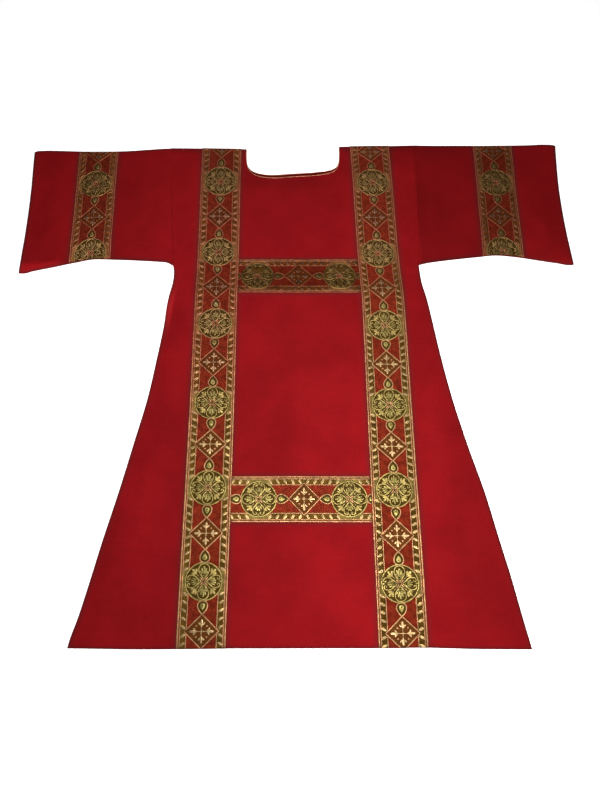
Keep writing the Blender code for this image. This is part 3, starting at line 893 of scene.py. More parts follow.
@dataclass(frozen=True)
class GalloonGround(Finish):
    """The galloon's woven ground: red field, brown rope borders and selvedges.

    Beside each medallion the rope borders turn to a plain, muted gold.  Its colour also carries
    painted light and shade.
    """

    groups: EffectGroups
    field_colour: Colour = (0.12, 0.013, 0.005)
    rope_colour: Colour = (0.074, 0.036, 0.0055)
    beside_colour: Colour = (0.14, 0.096, 0.024)
    edge_colour: Colour = (0.15, 0.036, 0.015)
    # The tint of the painted shade towards the shoulders.
    painted_shade: Colour = (1.3, 0.76, 0.96)
    metallic: float = 0.5
    one_way: float = 0.85
    threads_per_width: float = 190.0
    field_edge: float = 0.31
    rope_edge: float = 0.434
    soft: float = 0.006
    beside_from: float = 0.17
    beside_to: float = 0.34
    # Painted light and shade on the red field, in steps across the garment.
    painted_field_steps: Rows = ((0.13, 0.17, 1.0, 1.32), (0.36, 0.42, 1.0, 0.76))

    def build(self) -> Material:
        """Build the ground, read from the band's own pattern map.

        Returns:
            The material.
        """
        material, graph, shader, spot, mapped = self.start()
        across, along, _ = graph.parts(mapped)
        away = graph.math("ABSOLUTE", across)
        from_medallion = graph.math("PINGPONG", along, REPEAT / 2.0)
        beside = graph.span(from_medallion, self.beside_from, self.beside_to, 1.0, 0.0)
        rope, edge = (graph.span(away, at - self.soft, at + self.soft)
                      for at in (self.field_edge, self.rope_edge))
        metal = graph.group(self.groups.glint, mapped, self.threads_per_width)
        border = graph.blend(beside, self.rope_colour, self.beside_colour)
        band = graph.group(self.groups.band, spot)
        border = self.with_painted_light_and_shade(graph, border, band, self.painted_shade)
        sideways, _, _ = graph.parts(spot)
        first, second = (graph.span(sideways, *step) for step in self.painted_field_steps)
        plain = graph.scaled(self.field_colour, graph.math("MULTIPLY", first, second))
        colour = graph.blend(edge, graph.blend(rope, plain, border), self.edge_colour)
        # Painted glints from the sparkle and painted shade between the thread ribs.
        lit = graph.span(metal.outputs["Sparkle"], 0.0, 1.0, 0.72, 1.3)
        rib = graph.span(metal.outputs["Ridge"], 0.0, 1.0, 0.8, 1.12)
        graph.feed(shader, {
            "Base Color": graph.scaled(colour, graph.math("MULTIPLY", lit, rib)),
            "Metallic": self.metallic, "Roughness": 0.45, "Specular IOR Level": 0.03,
            "Normal": graph.bump(metal.outputs["Ridge"], 0.0003, 0.5), **graph.brushed(self.one_way)})
        return material


@dataclass(frozen=True)
class MetalThread(Finish):
    """Metal-wrapped thread that catches the light unevenly, most of it across the threads."""

    groups: EffectGroups
    dark: Colour = (0.3, 0.17, 0.07)
    light: Colour = (0.8, 0.52, 0.26)
    metallic: float = 1.0
    roughness: float = 0.42
    # The tint of the painted shade towards the shoulders.
    painted_shade: Colour = (1.02, 0.8, 0.98)
    uneven: float = 0.06
    one_way: float = 0.85
    threads_per_width: float = 190.0

    def build(self) -> Material:
        """Build the thread, read from the band's own pattern map.

        Returns:
            The material.
        """
        material, graph, shader, spot, mapped = self.start()
        metal = graph.group(self.groups.glint, mapped, self.threads_per_width)
        ridge, sparkle = metal.outputs["Ridge"], metal.outputs["Sparkle"]
        # Painted shade between the thread ridges and painted glints mix the dark and the light colour.
        share = graph.math("MULTIPLY_ADD", ridge, 0.45, graph.math("MULTIPLY", sparkle, 0.55))
        band = graph.group(self.groups.band, spot)
        colour = self.with_painted_light_and_shade(graph, graph.blend(share, self.dark, self.light), band, self.painted_shade)
        rough, smooth = self.roughness + self.uneven, self.roughness - self.uneven
        graph.feed(shader, {
            "Base Color": colour, "Roughness": graph.span(sparkle, 0.0, 1.0, rough, smooth),
            "Metallic": self.metallic, "Specular IOR Level": 0.05,
            "Normal": graph.bump(ridge, 0.0001, 0.5), **graph.brushed(self.one_way)})
        return material


@dataclass(frozen=True)
class FloorPaper(Finish):
    """A plain pale floor with a faint unevenness."""

    colour: Colour = (0.9, 0.9, 0.9)
    glow: float = 0.6

    def build(self) -> Material:
        """Build the paper.

        Returns:
            The material.
        """
        material, graph, shader, spot, _ = self.start()
        tone = graph.span(graph.noise(spot, 6.0), 0.3, 0.7, 0.985, 1.0)
        graph.feed(shader, {"Base Color": graph.scaled(self.colour, tone), "Roughness": 0.9,
                            "Emission Color": (1.0, 1.0, 1.0), "Emission Strength": self.glow})
        return material


# --- Cloth panels ---


@dataclass
class BodyPanel:
    """The front or the back: a grid between guide lines, with the neck left out of it."""

    name: str
    cut: Cut
    neck: Neck
    is_front: bool
    finishes: list[Material]
    gore_steps: int = 26
    clavus_steps: int = 14
    shoulder_steps: int = 5
    neck_steps: int = 44
    row_steps: tuple[int, ...] = (12, 8, 18, 12, 46, 12, 28)
    edge_radius: float = 0.0007
    # A painted highlight on the left flank below the underarm: its drop, its reach and how much lighter it
    # paints the cloth; then its width and fade from the side edge.
    roll: Triple = (0.492, 0.05, 0.88)
    painted_highlight_width: float = 0.007
    painted_highlight_fade: float = 0.01
    inside_shown_from: float = 0.4
    inside_margin: float = 0.0002

    def places(self) -> tuple[Array, Array, Array]:
        """Lay out the grid.

        Columns run evenly between the guide lines: side edge, both edges of a band, neck.
        Rows run evenly between the guide drops: neck corner, crossbar edges, hem.  Below the
        neck the rows hang with its base and are level again a little further down.

        Returns:
            x and drop of each grid point, and which cells are cloth.
        """
        cut = self.cut
        side_drops = self.neck.side_drops(self.row_steps[0])
        corner = side_drops[-1]
        guide_drops = [corner, corner + cut.neck_calm, *cut.upper_bar, *cut.lower_bar, cut.hem_drop]
        rows = np.concatenate((side_drops, spread(guide_drops, self.row_steps[1:])[1:]))
        half_band = BAND_WIDTH / 2
        peep = 0.0 if self.is_front else 1.0
        edges = {side: side.sign * (cut.side(side, rows) + peep * cut.peeps.read(side.value, rows))
                 for side in Side}
        centres = {side: cut.clavus(side, rows) for side in Side}
        neck = self.neck.side_share(np.minimum(rows, corner))
        counts = (self.gore_steps, self.clavus_steps, self.shoulder_steps)
        left = spread([edges[Side.LEFT], centres[Side.LEFT] - half_band,
                       centres[Side.LEFT] + half_band, -neck * cut.neck_left], counts)
        right = spread([neck * cut.neck_right, centres[Side.RIGHT] - half_band,
                        centres[Side.RIGHT] + half_band, edges[Side.RIGHT]], counts[::-1])
        base_x = self.neck.base_x(self.neck_steps)
        middle = np.repeat(base_x[None, 1:-1], len(rows), axis=0)
        x = np.concatenate((np.array(left).T, middle, np.array(right).T), axis=1)

        first = sum(counts)
        last = first + self.neck_steps
        drop = np.repeat(rows[:, None], x.shape[1], axis=1)
        settled = smooth_step((rows - corner) / cut.neck_calm)[:, None]
        hang = (self.neck.base_drop(base_x) - corner) * (1.0 - settled)
        drop[:, first:last + 1] += hang * (rows >= corner - 1e-9)[:, None]
        drop = cut.row(x, drop)
        cells = np.ones((x.shape[0] - 1, x.shape[1] - 1), dtype=bool)
        cells[:self.row_steps[0], first:last] = False
        return x, drop, cells

    def shade(self, x: Array, drop: Array) -> Array:
        """Work out the shade map.

        The outline is the shoulder, the hem and each flank below the underarm; painted shade runs along
        it, more on the right flank.  Just below the underarm the left flank gets a painted highlight.

        Args:
            x: Places across.
            drop: Places down.

        Returns:
            The distance from an outline or a band, and how much lighter or darker the cloth is painted.
        """
        cut = self.cut
        inward = np.maximum(cut.inward(x, drop), 0.0)
        to_hem = cut.row(x, np.full_like(x, cut.hem_drop)) - drop
        away = np.minimum(drop - cut.row(x, np.zeros_like(x)), HEM_NARROWER * to_hem)
        outline = np.where(drop > cut.underarm_drop, np.minimum(away, inward), away)
        away = np.minimum(outline, cut.from_bands(x, drop)) if self.is_front else outline
        height, reach, light = self.roll
        place = np.exp(-((drop - height) / reach) ** 2) * (x < 0)
        painted_light_and_shade = light * place * (1.0 - smooth_step((inward - self.painted_highlight_width) / self.painted_highlight_fade))
        painted_light_and_shade = painted_light_and_shade - OUTLINE_PAINTED_SHADE * (1.0 - smooth_step(outline / OUTLINE_WIDTH))
        right_flank = (x > 0.0) & (drop > cut.underarm_drop)
        painted_light_and_shade = painted_light_and_shade - RIGHT_FLANK_PAINTED_SHADE * right_flank * (1.0 - smooth_step(inward / OUTLINE_WIDTH))
        return joined(np.clip(away, 0.0, FAR), painted_light_and_shade)

    def build(self) -> Piece:
        """Returns:
            The piece.
        """
        x, drop, cells = self.places()
        height = self.cut.front_height(x, drop) if self.is_front else CLOTH
        points = self.cut.at(x, drop, height).reshape(-1, 3)
        kinds = np.zeros(cells.shape, int)
        if not self.is_front:
            middle_drop = self.cut.shoulder_y - points.reshape(*x.shape, 3)[1:, 1:, 1]
            shown = self.cut.peeps.read("left", middle_drop) + self.inside_margin
            is_shown = self.cut.inward(x[1:, 1:], middle_drop) < shown
            kinds[is_shown & (middle_drop > self.inside_shown_from)] = 1
        points, faces, shade = only_used(points, grid_faces(cells), self.shade(x, drop).reshape(-1, 2))
        piece = make_piece(f"{self.name}_cloth", points, [faces], self.finishes, kinds[cells],
                           shade, "Shade")
        thicken(piece, CLOTH, self.edge_radius, turns_over=not self.is_front)
        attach(piece, BODY)
        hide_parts(self.name)
        return piece


@dataclass
class Sleeve:
    """A sleeve pressed flat: an upper and a lower layer, joined by round folds along its edges."""

    side: Side
    cut: Cut
    finish: Material
    run_steps: tuple[int, ...] = (22, 14, 24)
    across_steps: int = 44
    fold_steps: int = 8
    lift: float = 0.0034
    fade: float = 0.06
    dip: float = 0.0022
    dip_width: float = 0.035
    cuff_bows: Pair = (0.0058, 0.0096)
    # Where the painted highlight along the underarm starts and fades in, and how far the painted fold shadow
    # reaches.
    wedge_from: float = 0.55
    lit_from: float = 0.64
    lit_fade: float = 0.12
    fold_shadow: float = 0.009
    seam_overlap: float = 0.0008
    seam_dip: float = 0.00012
    seam_calm: float = 0.006
    seam_width: float = 0.0028
    # How far each side's painted highlight wedge reaches and how much lighter it paints the cloth.
    painted_highlight_wedges: Rows = ((0.03, 0.82), (0.016, 0.28))
    edges: Table = Table(("run", "left_top", "left_under", "left_peep",
                          "right_top", "right_under", "right_peep"), (
        (0.0, 0.0034, 0.37, 0.0, 0.0023, 0.376, 0.0), (0.04, 0.0038, 0.3602, 0.0, 0.0026, 0.3715, 0.0),
        (0.12, 0.0058, 0.3567, 0.0, 0.0033, 0.366, 0.0), (0.35, 0.0111, 0.3505, 0.0, 0.0044, 0.355, 0.0),
        (0.48, 0.0118, 0.3486, 0.0, 0.0053, 0.3502, 0.0),
        (0.62, 0.0109, 0.3579, 0.0006, 0.0053, 0.3558, 0.0006),
        (0.78, 0.0082, 0.372, 0.0025, 0.0049, 0.3676, 0.0024),
        (0.9, 0.0066, 0.3818, 0.0045, 0.0032, 0.3763, 0.0042),
        (0.97, 0.0073, 0.3888, 0.0055, 0.0039, 0.3815, 0.0045),
        (1.0, 0.011, 0.388, 0.0058, 0.0075, 0.3808, 0.0042),
    ))
    lines: tuple[Rows, Rows] = (
        ((0.3428, 0.3188), (0.484, 0.482), (0.592, 0.59), (0.7162, 0.7165)),
        ((0.3428, 0.3188), (0.4915, 0.487), (0.5995, 0.595), (0.7207, 0.7207)),
    )
    creases: tuple[tuple[Crease, ...], ...] = (
        (Crease(-0.372, 0.03, -0.352, 0.33, 0.0014, 0.012), Crease(-0.4, 0.06, -0.392, 0.3, -0.0012, 0.012),
         Crease(-0.44, 0.1, -0.455, 0.34, 0.0009, 0.016), Crease(-0.64, 0.08, -0.66, 0.36, 0.0009, 0.018),
         Crease(-0.69, 0.34, -0.6, 0.18, 0.001, 0.014)),
        (Crease(0.352, 0.02, 0.336, 0.35, -0.0019, 0.01), Crease(0.378, 0.05, 0.366, 0.33, 0.0013, 0.013),
         Crease(0.43, 0.08, 0.448, 0.34, -0.0009, 0.018), Crease(0.65, 0.06, 0.665, 0.35, 0.001, 0.018),
         Crease(0.69, 0.34, 0.61, 0.2, 0.001, 0.014)),
    )

    def guides(self) -> tuple[Array, Array]:
        """Return x at the top fold and x at the underarm of each guide line: armhole, band, cuff."""
        table = np.array(self.side.pick(self.lines))
        return table[:, 0], table[:, 1]

    def run_of(self, top_x: Array) -> Array:
        """Return the run, 0 at the armhole and 1 at the cuff, of a line that starts at top_x."""
        tops, _ = self.guides()
        return (top_x - tops[0]) / (tops[-1] - tops[0])

    def edge(self, part: str, run: Array) -> Array:
        """Read the drop of the top fold or the underarm, or the peep, along the run."""
        return self.edges.read(f"{self.side.value}_{part}", run)

    def place(self, top_x: Array, drop: Array, height: Array | float) -> Array:
        """Place points on the lines that run down the sleeve, bowed outwards towards the cuff.

        Args:
            top_x: Where the line of each point starts at the top fold.
            drop: Places down.
            height: Heights.

        Returns:
            The points.
        """
        tops, unders = self.guides()
        run = self.run_of(top_x)
        top, under = self.edge("top", run), self.edge("under", run)
        share = (drop - top) / (under - top)
        x = top_x + (np.interp(top_x, tops, unders) - top_x) * share
        x = x - self.side.pick(self.cuff_bows) * 4.0 * share * (1.0 - share) * run ** 3
        return self.cut.at(self.side.sign * x, drop, height)

    def upper_ends(self, run: Array) -> tuple[Array, Array]:
        """Return the drops between which the upper layer lies, without the folds."""
        return (self.edge("top", run) + FOLD_RADIUS,
                self.edge("under", run) - FOLD_RADIUS - self.edge("peep", run))

    def band_ends(self) -> Pair:
        """Return the drops where the band starts and ends along its middle."""
        start, end = self.upper_ends(self.run_of(self.guides()[0][1:3].mean()))
        return float(start), float(end)

    def shade(self, top_x: Array, drop: Array) -> Array:
        """Work out the shade map.

        A painted highlight lies along the underarm towards the cuff, in a wedge that widens outwards;
        painted fold shadow dims it next to the fold, and painted shade runs along the outline.

        Args:
            top_x: Where the line of each place starts.
            drop: Places down.

        Returns:
            The distance from an outline or the band, and how much lighter or darker the cloth is painted.
        """
        tops, _ = self.guides()
        run = self.run_of(top_x)
        to_under = np.maximum(self.edge("under", run) - drop, 0.0)
        from_band = np.maximum(np.maximum(tops[1] - top_x, top_x - tops[2]), 0.0)
        from_top = TOP_NARROWER * (drop - self.edge("top", run))
        outline = np.minimum(np.minimum(from_top, to_under), tops[-1] - top_x)
        away = np.minimum(outline, from_band)
        height, light = self.side.pick(self.painted_highlight_wedges)
        wedge = height * np.clip((run - self.wedge_from) / (1.0 - self.wedge_from), 0.05, 1.0)
        within = 1.0 - smooth_step((to_under / wedge - 0.7) / 0.5)
        painted_light_and_shade = light * smooth_step((run - self.lit_from) / self.lit_fade) * within
        painted_light_and_shade = painted_light_and_shade * (0.3 + 0.7 * smooth_step(to_under / self.fold_shadow))
        painted_light_and_shade = painted_light_and_shade - OUTLINE_PAINTED_SHADE * (1.0 - smooth_step(outline / OUTLINE_WIDTH))
        return joined(np.clip(away, 0.0, FAR), painted_light_and_shade)

    def face_height(self, top_x: Array, drop: Array) -> Array:
        """Work out the upper layer's face: flat at the folds, a low swell between.

        Args:
            top_x: Where the line of each place starts.
            drop: Places down.

        Returns:
            The height.
        """
        run = self.run_of(top_x)
        top, under = self.upper_ends(run)
        inward = np.clip(np.minimum(drop - top, under - drop), 0.0, None)
        length = self.guides()[0][-1] - self.guides()[0][0]
        dip = self.dip * np.exp(-(run * length / self.dip_width) ** 2)
        swell = (self.lift - dip) * (1.0 - 0.6 * smooth_step(run * 4.0 - 3.0))
        x = self.place(top_x, drop, 0.0)[..., 0]
        calm = smooth_step(inward / self.cut.crease_fade) * smooth_step(run * length / self.seam_calm)
        rise = sum(crease.rise(x, drop) for crease in self.side.pick(self.creases))
        lift = swell * smooth_step(inward / self.fade) + (rise + self.cut.waves(x, drop)) * calm
        seam = self.seam_dip * (1.0 - smooth_step((run * length + self.seam_overlap) / self.seam_width))
        return FRONT_FACE + np.maximum(lift, 0.0) - seam

    def build(self) -> Piece:
        """Make the sleeve: closed rings of outer and inner points, joined at both ends.

        A ring goes down the upper layer, round the underarm fold, up the lower layer and round
        the top fold.  A fold is a half circle, drawn out to one side where the lower layer peeps.

        Returns:
            The piece.
        """
        tops, _ = self.guides()
        seam = tops[0] + np.array((-self.seam_overlap, 0.0, self.seam_width))
        top_x = np.concatenate((seam, spread([seam[-1], *tops[1:]], self.run_steps)[1:]))[:, None]
        run = self.run_of(top_x)
        top, under, peep = (self.edge(part, run) for part in ("top", "under", "peep"))
        across = np.linspace(0.0, 1.0, self.across_steps + 1)[None, :]
        start, end = top + FOLD_RADIUS, under - FOLD_RADIUS - peep
        upper = start + (end - start) * across
        lower_end = under - FOLD_RADIUS
        lower = lower_end + (start - lower_end) * across
        turn = np.linspace(0.0, math.pi, self.fold_steps + 1)[None, 1:-1]
        face = self.face_height(top_x, upper)
        rings, shades = [], []
        for reach, fall, floor_height in ((FOLD_RADIUS, 0.0, 0.0), (GAP / 2, CLOTH, CLOTH)):
            under_drop = lower_end + reach * np.sin(turn) - peep * (1.0 + np.cos(turn)) / 2.0
            top_drop = start - reach * np.sin(turn)
            shades.append(self.shade(top_x, np.concatenate((upper, under_drop, lower, top_drop), axis=1)))
            rings.append(np.concatenate((
                self.place(top_x, upper, face - fall),
                self.place(top_x, under_drop, FOLD_RADIUS + reach * np.cos(turn)),
                self.place(top_x, lower, floor_height),
                self.place(top_x, top_drop, FOLD_RADIUS - reach * np.cos(turn)),
            ), axis=1))
        stations, around = rings[0].shape[:2]
        number, following, outer = ring_faces(stations, around)
        inner = outer[:, ::-1] + stations * around
        ends = joined(number, number + stations * around, following + stations * around, following)
        faces = np.concatenate((outer, inner, ends[0], ends[-1, :, ::-1]))
        if self.side is Side.LEFT:
            faces = faces[:, ::-1]
        points = np.concatenate([ring.reshape(-1, 3) for ring in rings])
        shade = np.concatenate([part.reshape(-1, 2) for part in shades])
        name = f"sleeve_{self.side.value}"
        piece = make_piece(f"{name}_cloth", points, [faces], [self.finish], None, shade, "Shade")
        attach(piece, BODY)
        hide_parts(name)
        return piece


# --- Raised thread work ---


def turned(points: Array, angle: float, u: float = 0.0, v: float = 0.0) -> Array:
    """Turn points in the plane by an angle and shift them."""
    cosine, sine = math.cos(angle), math.sin(angle)
    return points @ np.array(((cosine, sine), (-sine, cosine))) + np.array((u, v))


def leaf(length: float, width: float, steps: int = 14, point: float = 1.0) -> Array:
    """Draw a leaf from its pointed foot at 0 along +u to its round end.

    For the angle t, u = length (1 - cos t) / 2 and v = -width / 2 sin t sin(t / 2) ** point,
    drawn to its full width.

    Args:
        length: Its length.
        width: Its full width.
        steps: The number of points.
        point: How long it is drawn out to its foot.

    Returns:
        The points.
    """
    turn = once_round(steps)
    sway = np.sin(turn) * np.abs(np.sin(turn / 2.0)) ** point
    return joined(length * (1.0 - np.cos(turn)) / 2.0, -width / 2.0 * sway / sway.max())


def circle(radius: float, steps: int) -> Array:
    """Return points round a circle."""
    turn = once_round(steps)
    return joined(radius * np.cos(turn), radius * np.sin(turn))


@dataclass
class Relief:
    """Raised thread work; u and v in band widths, height in metres.

    Each part holds the points of a closed body, its faces of four and of three corners, and its
    thread.  Its foot is sunk a little into the ground.
    """

    sink: float = 0.00008
    parts: list[tuple[Array, Array, Array, Thread]] = field(default_factory=list)

    def arrays(self) -> tuple[Array, list[Array], Array]:
        """Join all parts.

        Returns:
            The points, the faces of four and of three corners, and the slot of each face.
        """
        points, quads, triangles, threads = zip(*self.parts)
        starts = np.cumsum([0] + [len(part) for part in points[:-1]])
        faces = [np.concatenate([rows + start for rows, start in zip(kind, starts)])
                 for kind in (quads, triangles)]
        slots = [thread.value for thread in threads]
        kinds = [np.repeat(slots, [len(rows) for rows in kind]) for kind in (quads, triangles)]
        return np.concatenate(points), faces, np.concatenate(kinds)

    def pad(self, outline: Array, height: float, thread: Thread,
            rings: Rows = ((0.86, 0.72), (0.5, 0.96))) -> None:
        """Add a domed pad over an outline: rings drawn in towards its middle, with rising heights.

        Args:
            outline: The pad's outline, n by 2.
            height: Its height in the middle.
            thread: Its thread.
            rings: The size and height of each ring, as shares.
        """
        middle = outline.mean(axis=0)
        count = len(outline)
        levels = [(1.0, -self.sink / height), *rings]
        layers = [joined(*(middle + (outline - middle) * size).T, rise * height) for size, rise in levels]
        poles = np.array(((*middle, height), (*middle, -self.sink)))
        points = np.concatenate((*layers, poles))
        index = np.arange(count)
        following = np.roll(index, -1)
        quads = [joined(index, following, following + count, index + count) + level * count
                 for level in range(len(rings))]
        top, bottom = len(levels) * count, len(levels) * count + 1
        last = len(rings) * count
        caps = np.concatenate((joined(index + last, following + last, top), joined(following, index, bottom)))
        self.parts.append((points, np.concatenate(quads), caps, thread))

    def plate(self, outline: Array, height: float, thread: Thread) -> None:
        """Add a flat plate with a slightly drawn-in top."""
        self.pad(outline, height, thread, tuple((size, 1.0) for size in (0.985, 0.84, 0.68, 0.52, 0.36, 0.2)))

    def ribbon(self, path: Array, width: float, height: float, thread: Thread,
               closed: bool = False) -> None:
        """Carry a four-cornered profile, narrower at its top, along a path.

        Args:
            path: The ribbon's middle line, n by 2.
            width: Its width at the foot, in band widths.
            height: Its height in metres.
            thread: Its thread.
            closed: Whether the path's end meets its start.
        """
        if closed:
            along = np.roll(path, -1, axis=0) - np.roll(path, 1, axis=0)
        else:
            along = np.gradient(path, axis=0)
        along = along / np.maximum(np.linalg.norm(along, axis=1, keepdims=True), 1e-9)
        aside = joined(-along[:, 1], along[:, 0])
        profile = ((-0.5, -self.sink), (-0.27, height), (0.27, height), (0.5, -self.sink))
        rings = np.stack([joined(*(path + aside * (share * width)).T, rise) for share, rise in profile],
                         axis=1)
        count = len(path)
        number = np.arange(count * 4).reshape(count, 4)
        next_ring = np.roll(number, -1, axis=0) if closed else number[1:]
        this_ring = number if closed else number[:-1]
        quads = joined(this_ring, next_ring, np.roll(next_ring, -1, axis=1),
                       np.roll(this_ring, -1, axis=1)).reshape(-1, 4)
        if not closed:
            quads = np.concatenate((quads, number[:1], number[-1:, ::-1]))
        self.parts.append((rings.reshape(-1, 3), quads, np.zeros((0, 3), int), thread))

    def stroke(self, start: float, end: float, angle: float, width: float, height: float,
               thread: Thread, foot: float = 0.0, lean: float = 0.0, v: float = 0.0,
               steps: int = 3) -> None:
        """Add a straight ribbon that points away from a middle.

        Args:
            start: How far it starts from its foot.
            end: How far it ends from its foot.
            angle: The way it points.
            width: Its width.
            height: Its height in metres.
            thread: Its thread.
            foot: How far the foot is from the middle.
            lean: How far it leans over at its foot.
            v: Where the middle is.
            steps: Its number of steps.
        """
        path = joined(np.linspace(start, end, steps + 1), 0.0)
        self.ribbon(turned(turned(path, lean, foot), angle, 0.0, v), width, height, thread)

    def line_along(self, u: float, low: float, high: float, width: float, height: float,
                   steps: int) -> None:
        """Add a straight ribbon along the band.

        Args:
            u: Where it runs.
            low: v at its start.
            high: v at its end.
            width: Its width.
            height: Its height in metres.
            steps: Its number of steps.
        """
        path = joined(u, np.linspace(low, high, steps + 1))
        self.ribbon(path, width, height, Thread.LINE)


@dataclass
class Motif(Relief):
    """One repeat of the galloon: a medallion at v = 0 and a lozenge half a repeat further.

    Sizes are in band widths, heights in metres.
    """

    thread_height: float = 0.0003
    plate_height: float = 0.00008
    ring_radius: float = 0.377
    ring_width: float = 0.03
    petal_foot: float = 0.052
    petal_length: float = 0.302
    petal_width: float = 0.222
    petal_line: float = 0.027
    vein_width: float = 0.022
    knob_length: float = 0.262
    knob_width: float = 0.202
    knob_tip: float = 0.64
    knob_line: float = 0.031
    knob_point: float = 0.75
    lozenge_half_width: float = 0.348
    lozenge_line: float = 0.029
    fleur_length: float = 0.215
    fleur_width: float = 0.058
    fleur_foot: float = 0.046
    fleur_sides: Rows = ((0.8, 0.098, 0.04),)
    fleur_sides_foot: float = 0.104
    cross_arm: float = 0.075
    cross_width: float = 0.019
    dot_radius: float = 0.021
    dot_place: float = 0.15
    rope_centre: float = 0.379
    rope_count: int = 12
    rope_clear: float = 0.2
    comma: Triple = (0.066, 0.033, 0.012)
    comma_lean: float = 0.62
    edge_lines: Rows = ((0.481, 0.034), (0.437, 0.026))
    edge_line_step: float = 0.07
    spray: Rows = ((0.0, 0.15, 0.058), (0.62, 0.124, 0.048))
    spray_foot: float = 0.203
    arm: Pair = (0.02, 0.118)
    arm_width: float = 0.038
    stem: Pair = (0.118, 0.225)
    stem_width: float = 0.018
    closed_palmette: Rows = ((0.0, 0.222, 0.058), (0.31, 0.19, 0.044), (0.64, 0.146, 0.04),
                             (1.0, 0.095, 0.034))
    closed_veins: Rows = ((0.0, 0.185), (0.47, 0.14), (0.8, 0.1))
    closed_foot: float = 0.096
    heart_palmette: Rows = ((0.14, 0.18, 0.044), (0.46, 0.162, 0.042), (0.82, 0.122, 0.038))
    heart_veins: Rows = ((0.0, 0.15), (0.3, 0.14), (0.64, 0.11))
    heart_foot: float = 0.09
    heart_bud: Rows = ((0.0, 0.07, 0.04),)
    heart_bud_foot: float = 0.3
    stitch_at: float = 0.462
    stitch_spacing: float = 0.0373
    stitch_length: float = 0.022
    inner_line: float = 0.3075
    inner_line_width: float = 0.026
    heart: Table = Table(("step", "along", "aside"), (
        (0.0, 0.05, 0.0), (1.0, 0.105, 0.044), (2.0, 0.165, 0.095), (3.0, 0.235, 0.124),
        (4.0, 0.303, 0.113), (5.0, 0.334, 0.07), (6.0, 0.313, 0.038), (7.0, 0.281, 0.048),
        (8.0, 0.286, 0.076),
    ))

    def lobes(self, shape: Rows, foot: float, angle: float, v: float, thread: Thread) -> None:
        """Add a spray of leaf-shaped pads that share one foot.

        Args:
            shape: Lean, length and width of each lobe; a leaning lobe has its mirror image too.
            foot: How far the shared foot is from the spray's centre.
            angle: The way the spray points.
            v: Where the spray's centre is.
            thread: Its thread.
        """
        for lean, length, width in shape:
            for mirrored in ((lean, -lean) if lean else (lean,)):
                lobe = turned(leaf(length, width, 12), mirrored, foot, 0.0)
                self.pad(turned(lobe, angle, 0.0, v), self.thread_height, thread)

    def medallion(self) -> None:
        """Add the round medallion: plate, ring, four petals with palmettes, four sprays, centre."""
        self.plate(circle(self.ring_radius, 56), self.plate_height, Thread.OLIVE)
        self.ribbon(circle(self.ring_radius, 72), self.ring_width, self.thread_height, Thread.RING, True)
        for quarter in range(4):
            angle = quarter * math.pi / 2.0
            if quarter % 2:
                self.closed_petal(angle)
            else:
                self.heart_petal(angle)
            between = angle + math.pi / 4.0
            self.lobes(self.spray, self.spray_foot, between, 0.0, Thread.RING)
            self.stroke(*self.arm, between, self.arm_width, self.thread_height, Thread.LINE)
            self.stroke(*self.stem, between, self.stem_width, self.thread_height * 0.8, Thread.RING)
        self.ribbon(circle(0.036, 4), 0.022, self.thread_height, Thread.LINE, True)
        self.pad(circle(0.014, 6), self.thread_height, Thread.MAROON)

    def closed_petal(self, angle: float) -> None:
        """Add a petal that points along the band: a closed leaf outline round a palmette.

        Args:
            angle: The way it points.
        """
        outline = leaf(self.petal_length, self.petal_width, 34, 0.8) + np.array((self.petal_foot, 0.0))
        self.ribbon(turned(outline, angle), self.petal_line, self.thread_height, Thread.RING, True)
        self.lobes(self.closed_palmette, self.closed_foot, angle, 0.0, Thread.LEAF)
        self.veins(self.closed_veins, self.closed_foot, angle)

    def veins(self, strokes: Rows, foot: float, angle: float) -> None:
        """Add the dark lines that part a palmette's leaves, each with its mirror image.

        Args:
            strokes: Lean and length of each line.
            foot: How far their shared foot is from the medallion's centre.
            angle: The way the palmette points.
        """
        for lean, length in strokes:
            for mirrored in ((lean, -lean) if lean else (lean,)):
                self.stroke(0.024, length, angle, self.vein_width, self.thread_height * 1.12,
                            Thread.OLIVE, foot, mirrored, steps=4)

    def heart_petal(self, angle: float) -> None:
        """Add a petal that points across the band: two halves that curl in, round a palmette.

        Args:
            angle: The way it points.
        """
        steps = np.linspace(0.0, self.heart.rows[-1][0], 33)
        half = joined(self.heart.read("along", steps), self.heart.read("aside", steps))
        for side in (1.0, -1.0):
            self.ribbon(turned(half * np.array((1.0, side)), angle), self.petal_line * 1.1,
                        self.thread_height, Thread.RING)
        self.lobes(self.heart_palmette, self.heart_foot, angle, 0.0, Thread.LEAF)
        self.lobes(self.heart_bud, self.heart_bud_foot, angle, 0.0, Thread.LEAF)
        self.veins(self.heart_veins, self.heart_foot, angle)

    def knobs(self) -> None:
        """Add the drop-shaped knob at each end of the medallion."""
        for end in (1.0, -1.0):
            angle = -end * math.pi / 2.0
            drop = leaf(self.knob_length, self.knob_width, 28, self.knob_point)
            inner = leaf(self.knob_length * 0.56, self.knob_width * 0.56, 16, self.knob_point)
            tip = end * self.knob_tip
            filling = turned(drop * 0.92, angle, 0.0, tip - end * 0.012)
            self.plate(filling, self.plate_height * 1.5, Thread.OLIVE)
            self.ribbon(turned(drop, angle, 0.0, tip), self.knob_line, self.thread_height, Thread.LINE, True)
            self.pad(turned(inner, angle, 0.0, tip - end * 0.076), self.thread_height, Thread.LEAF)
            dot = circle(0.017, 8) + np.array((0.0, tip - end * 0.172))
            self.pad(dot, self.thread_height * 1.25, Thread.OLIVE)

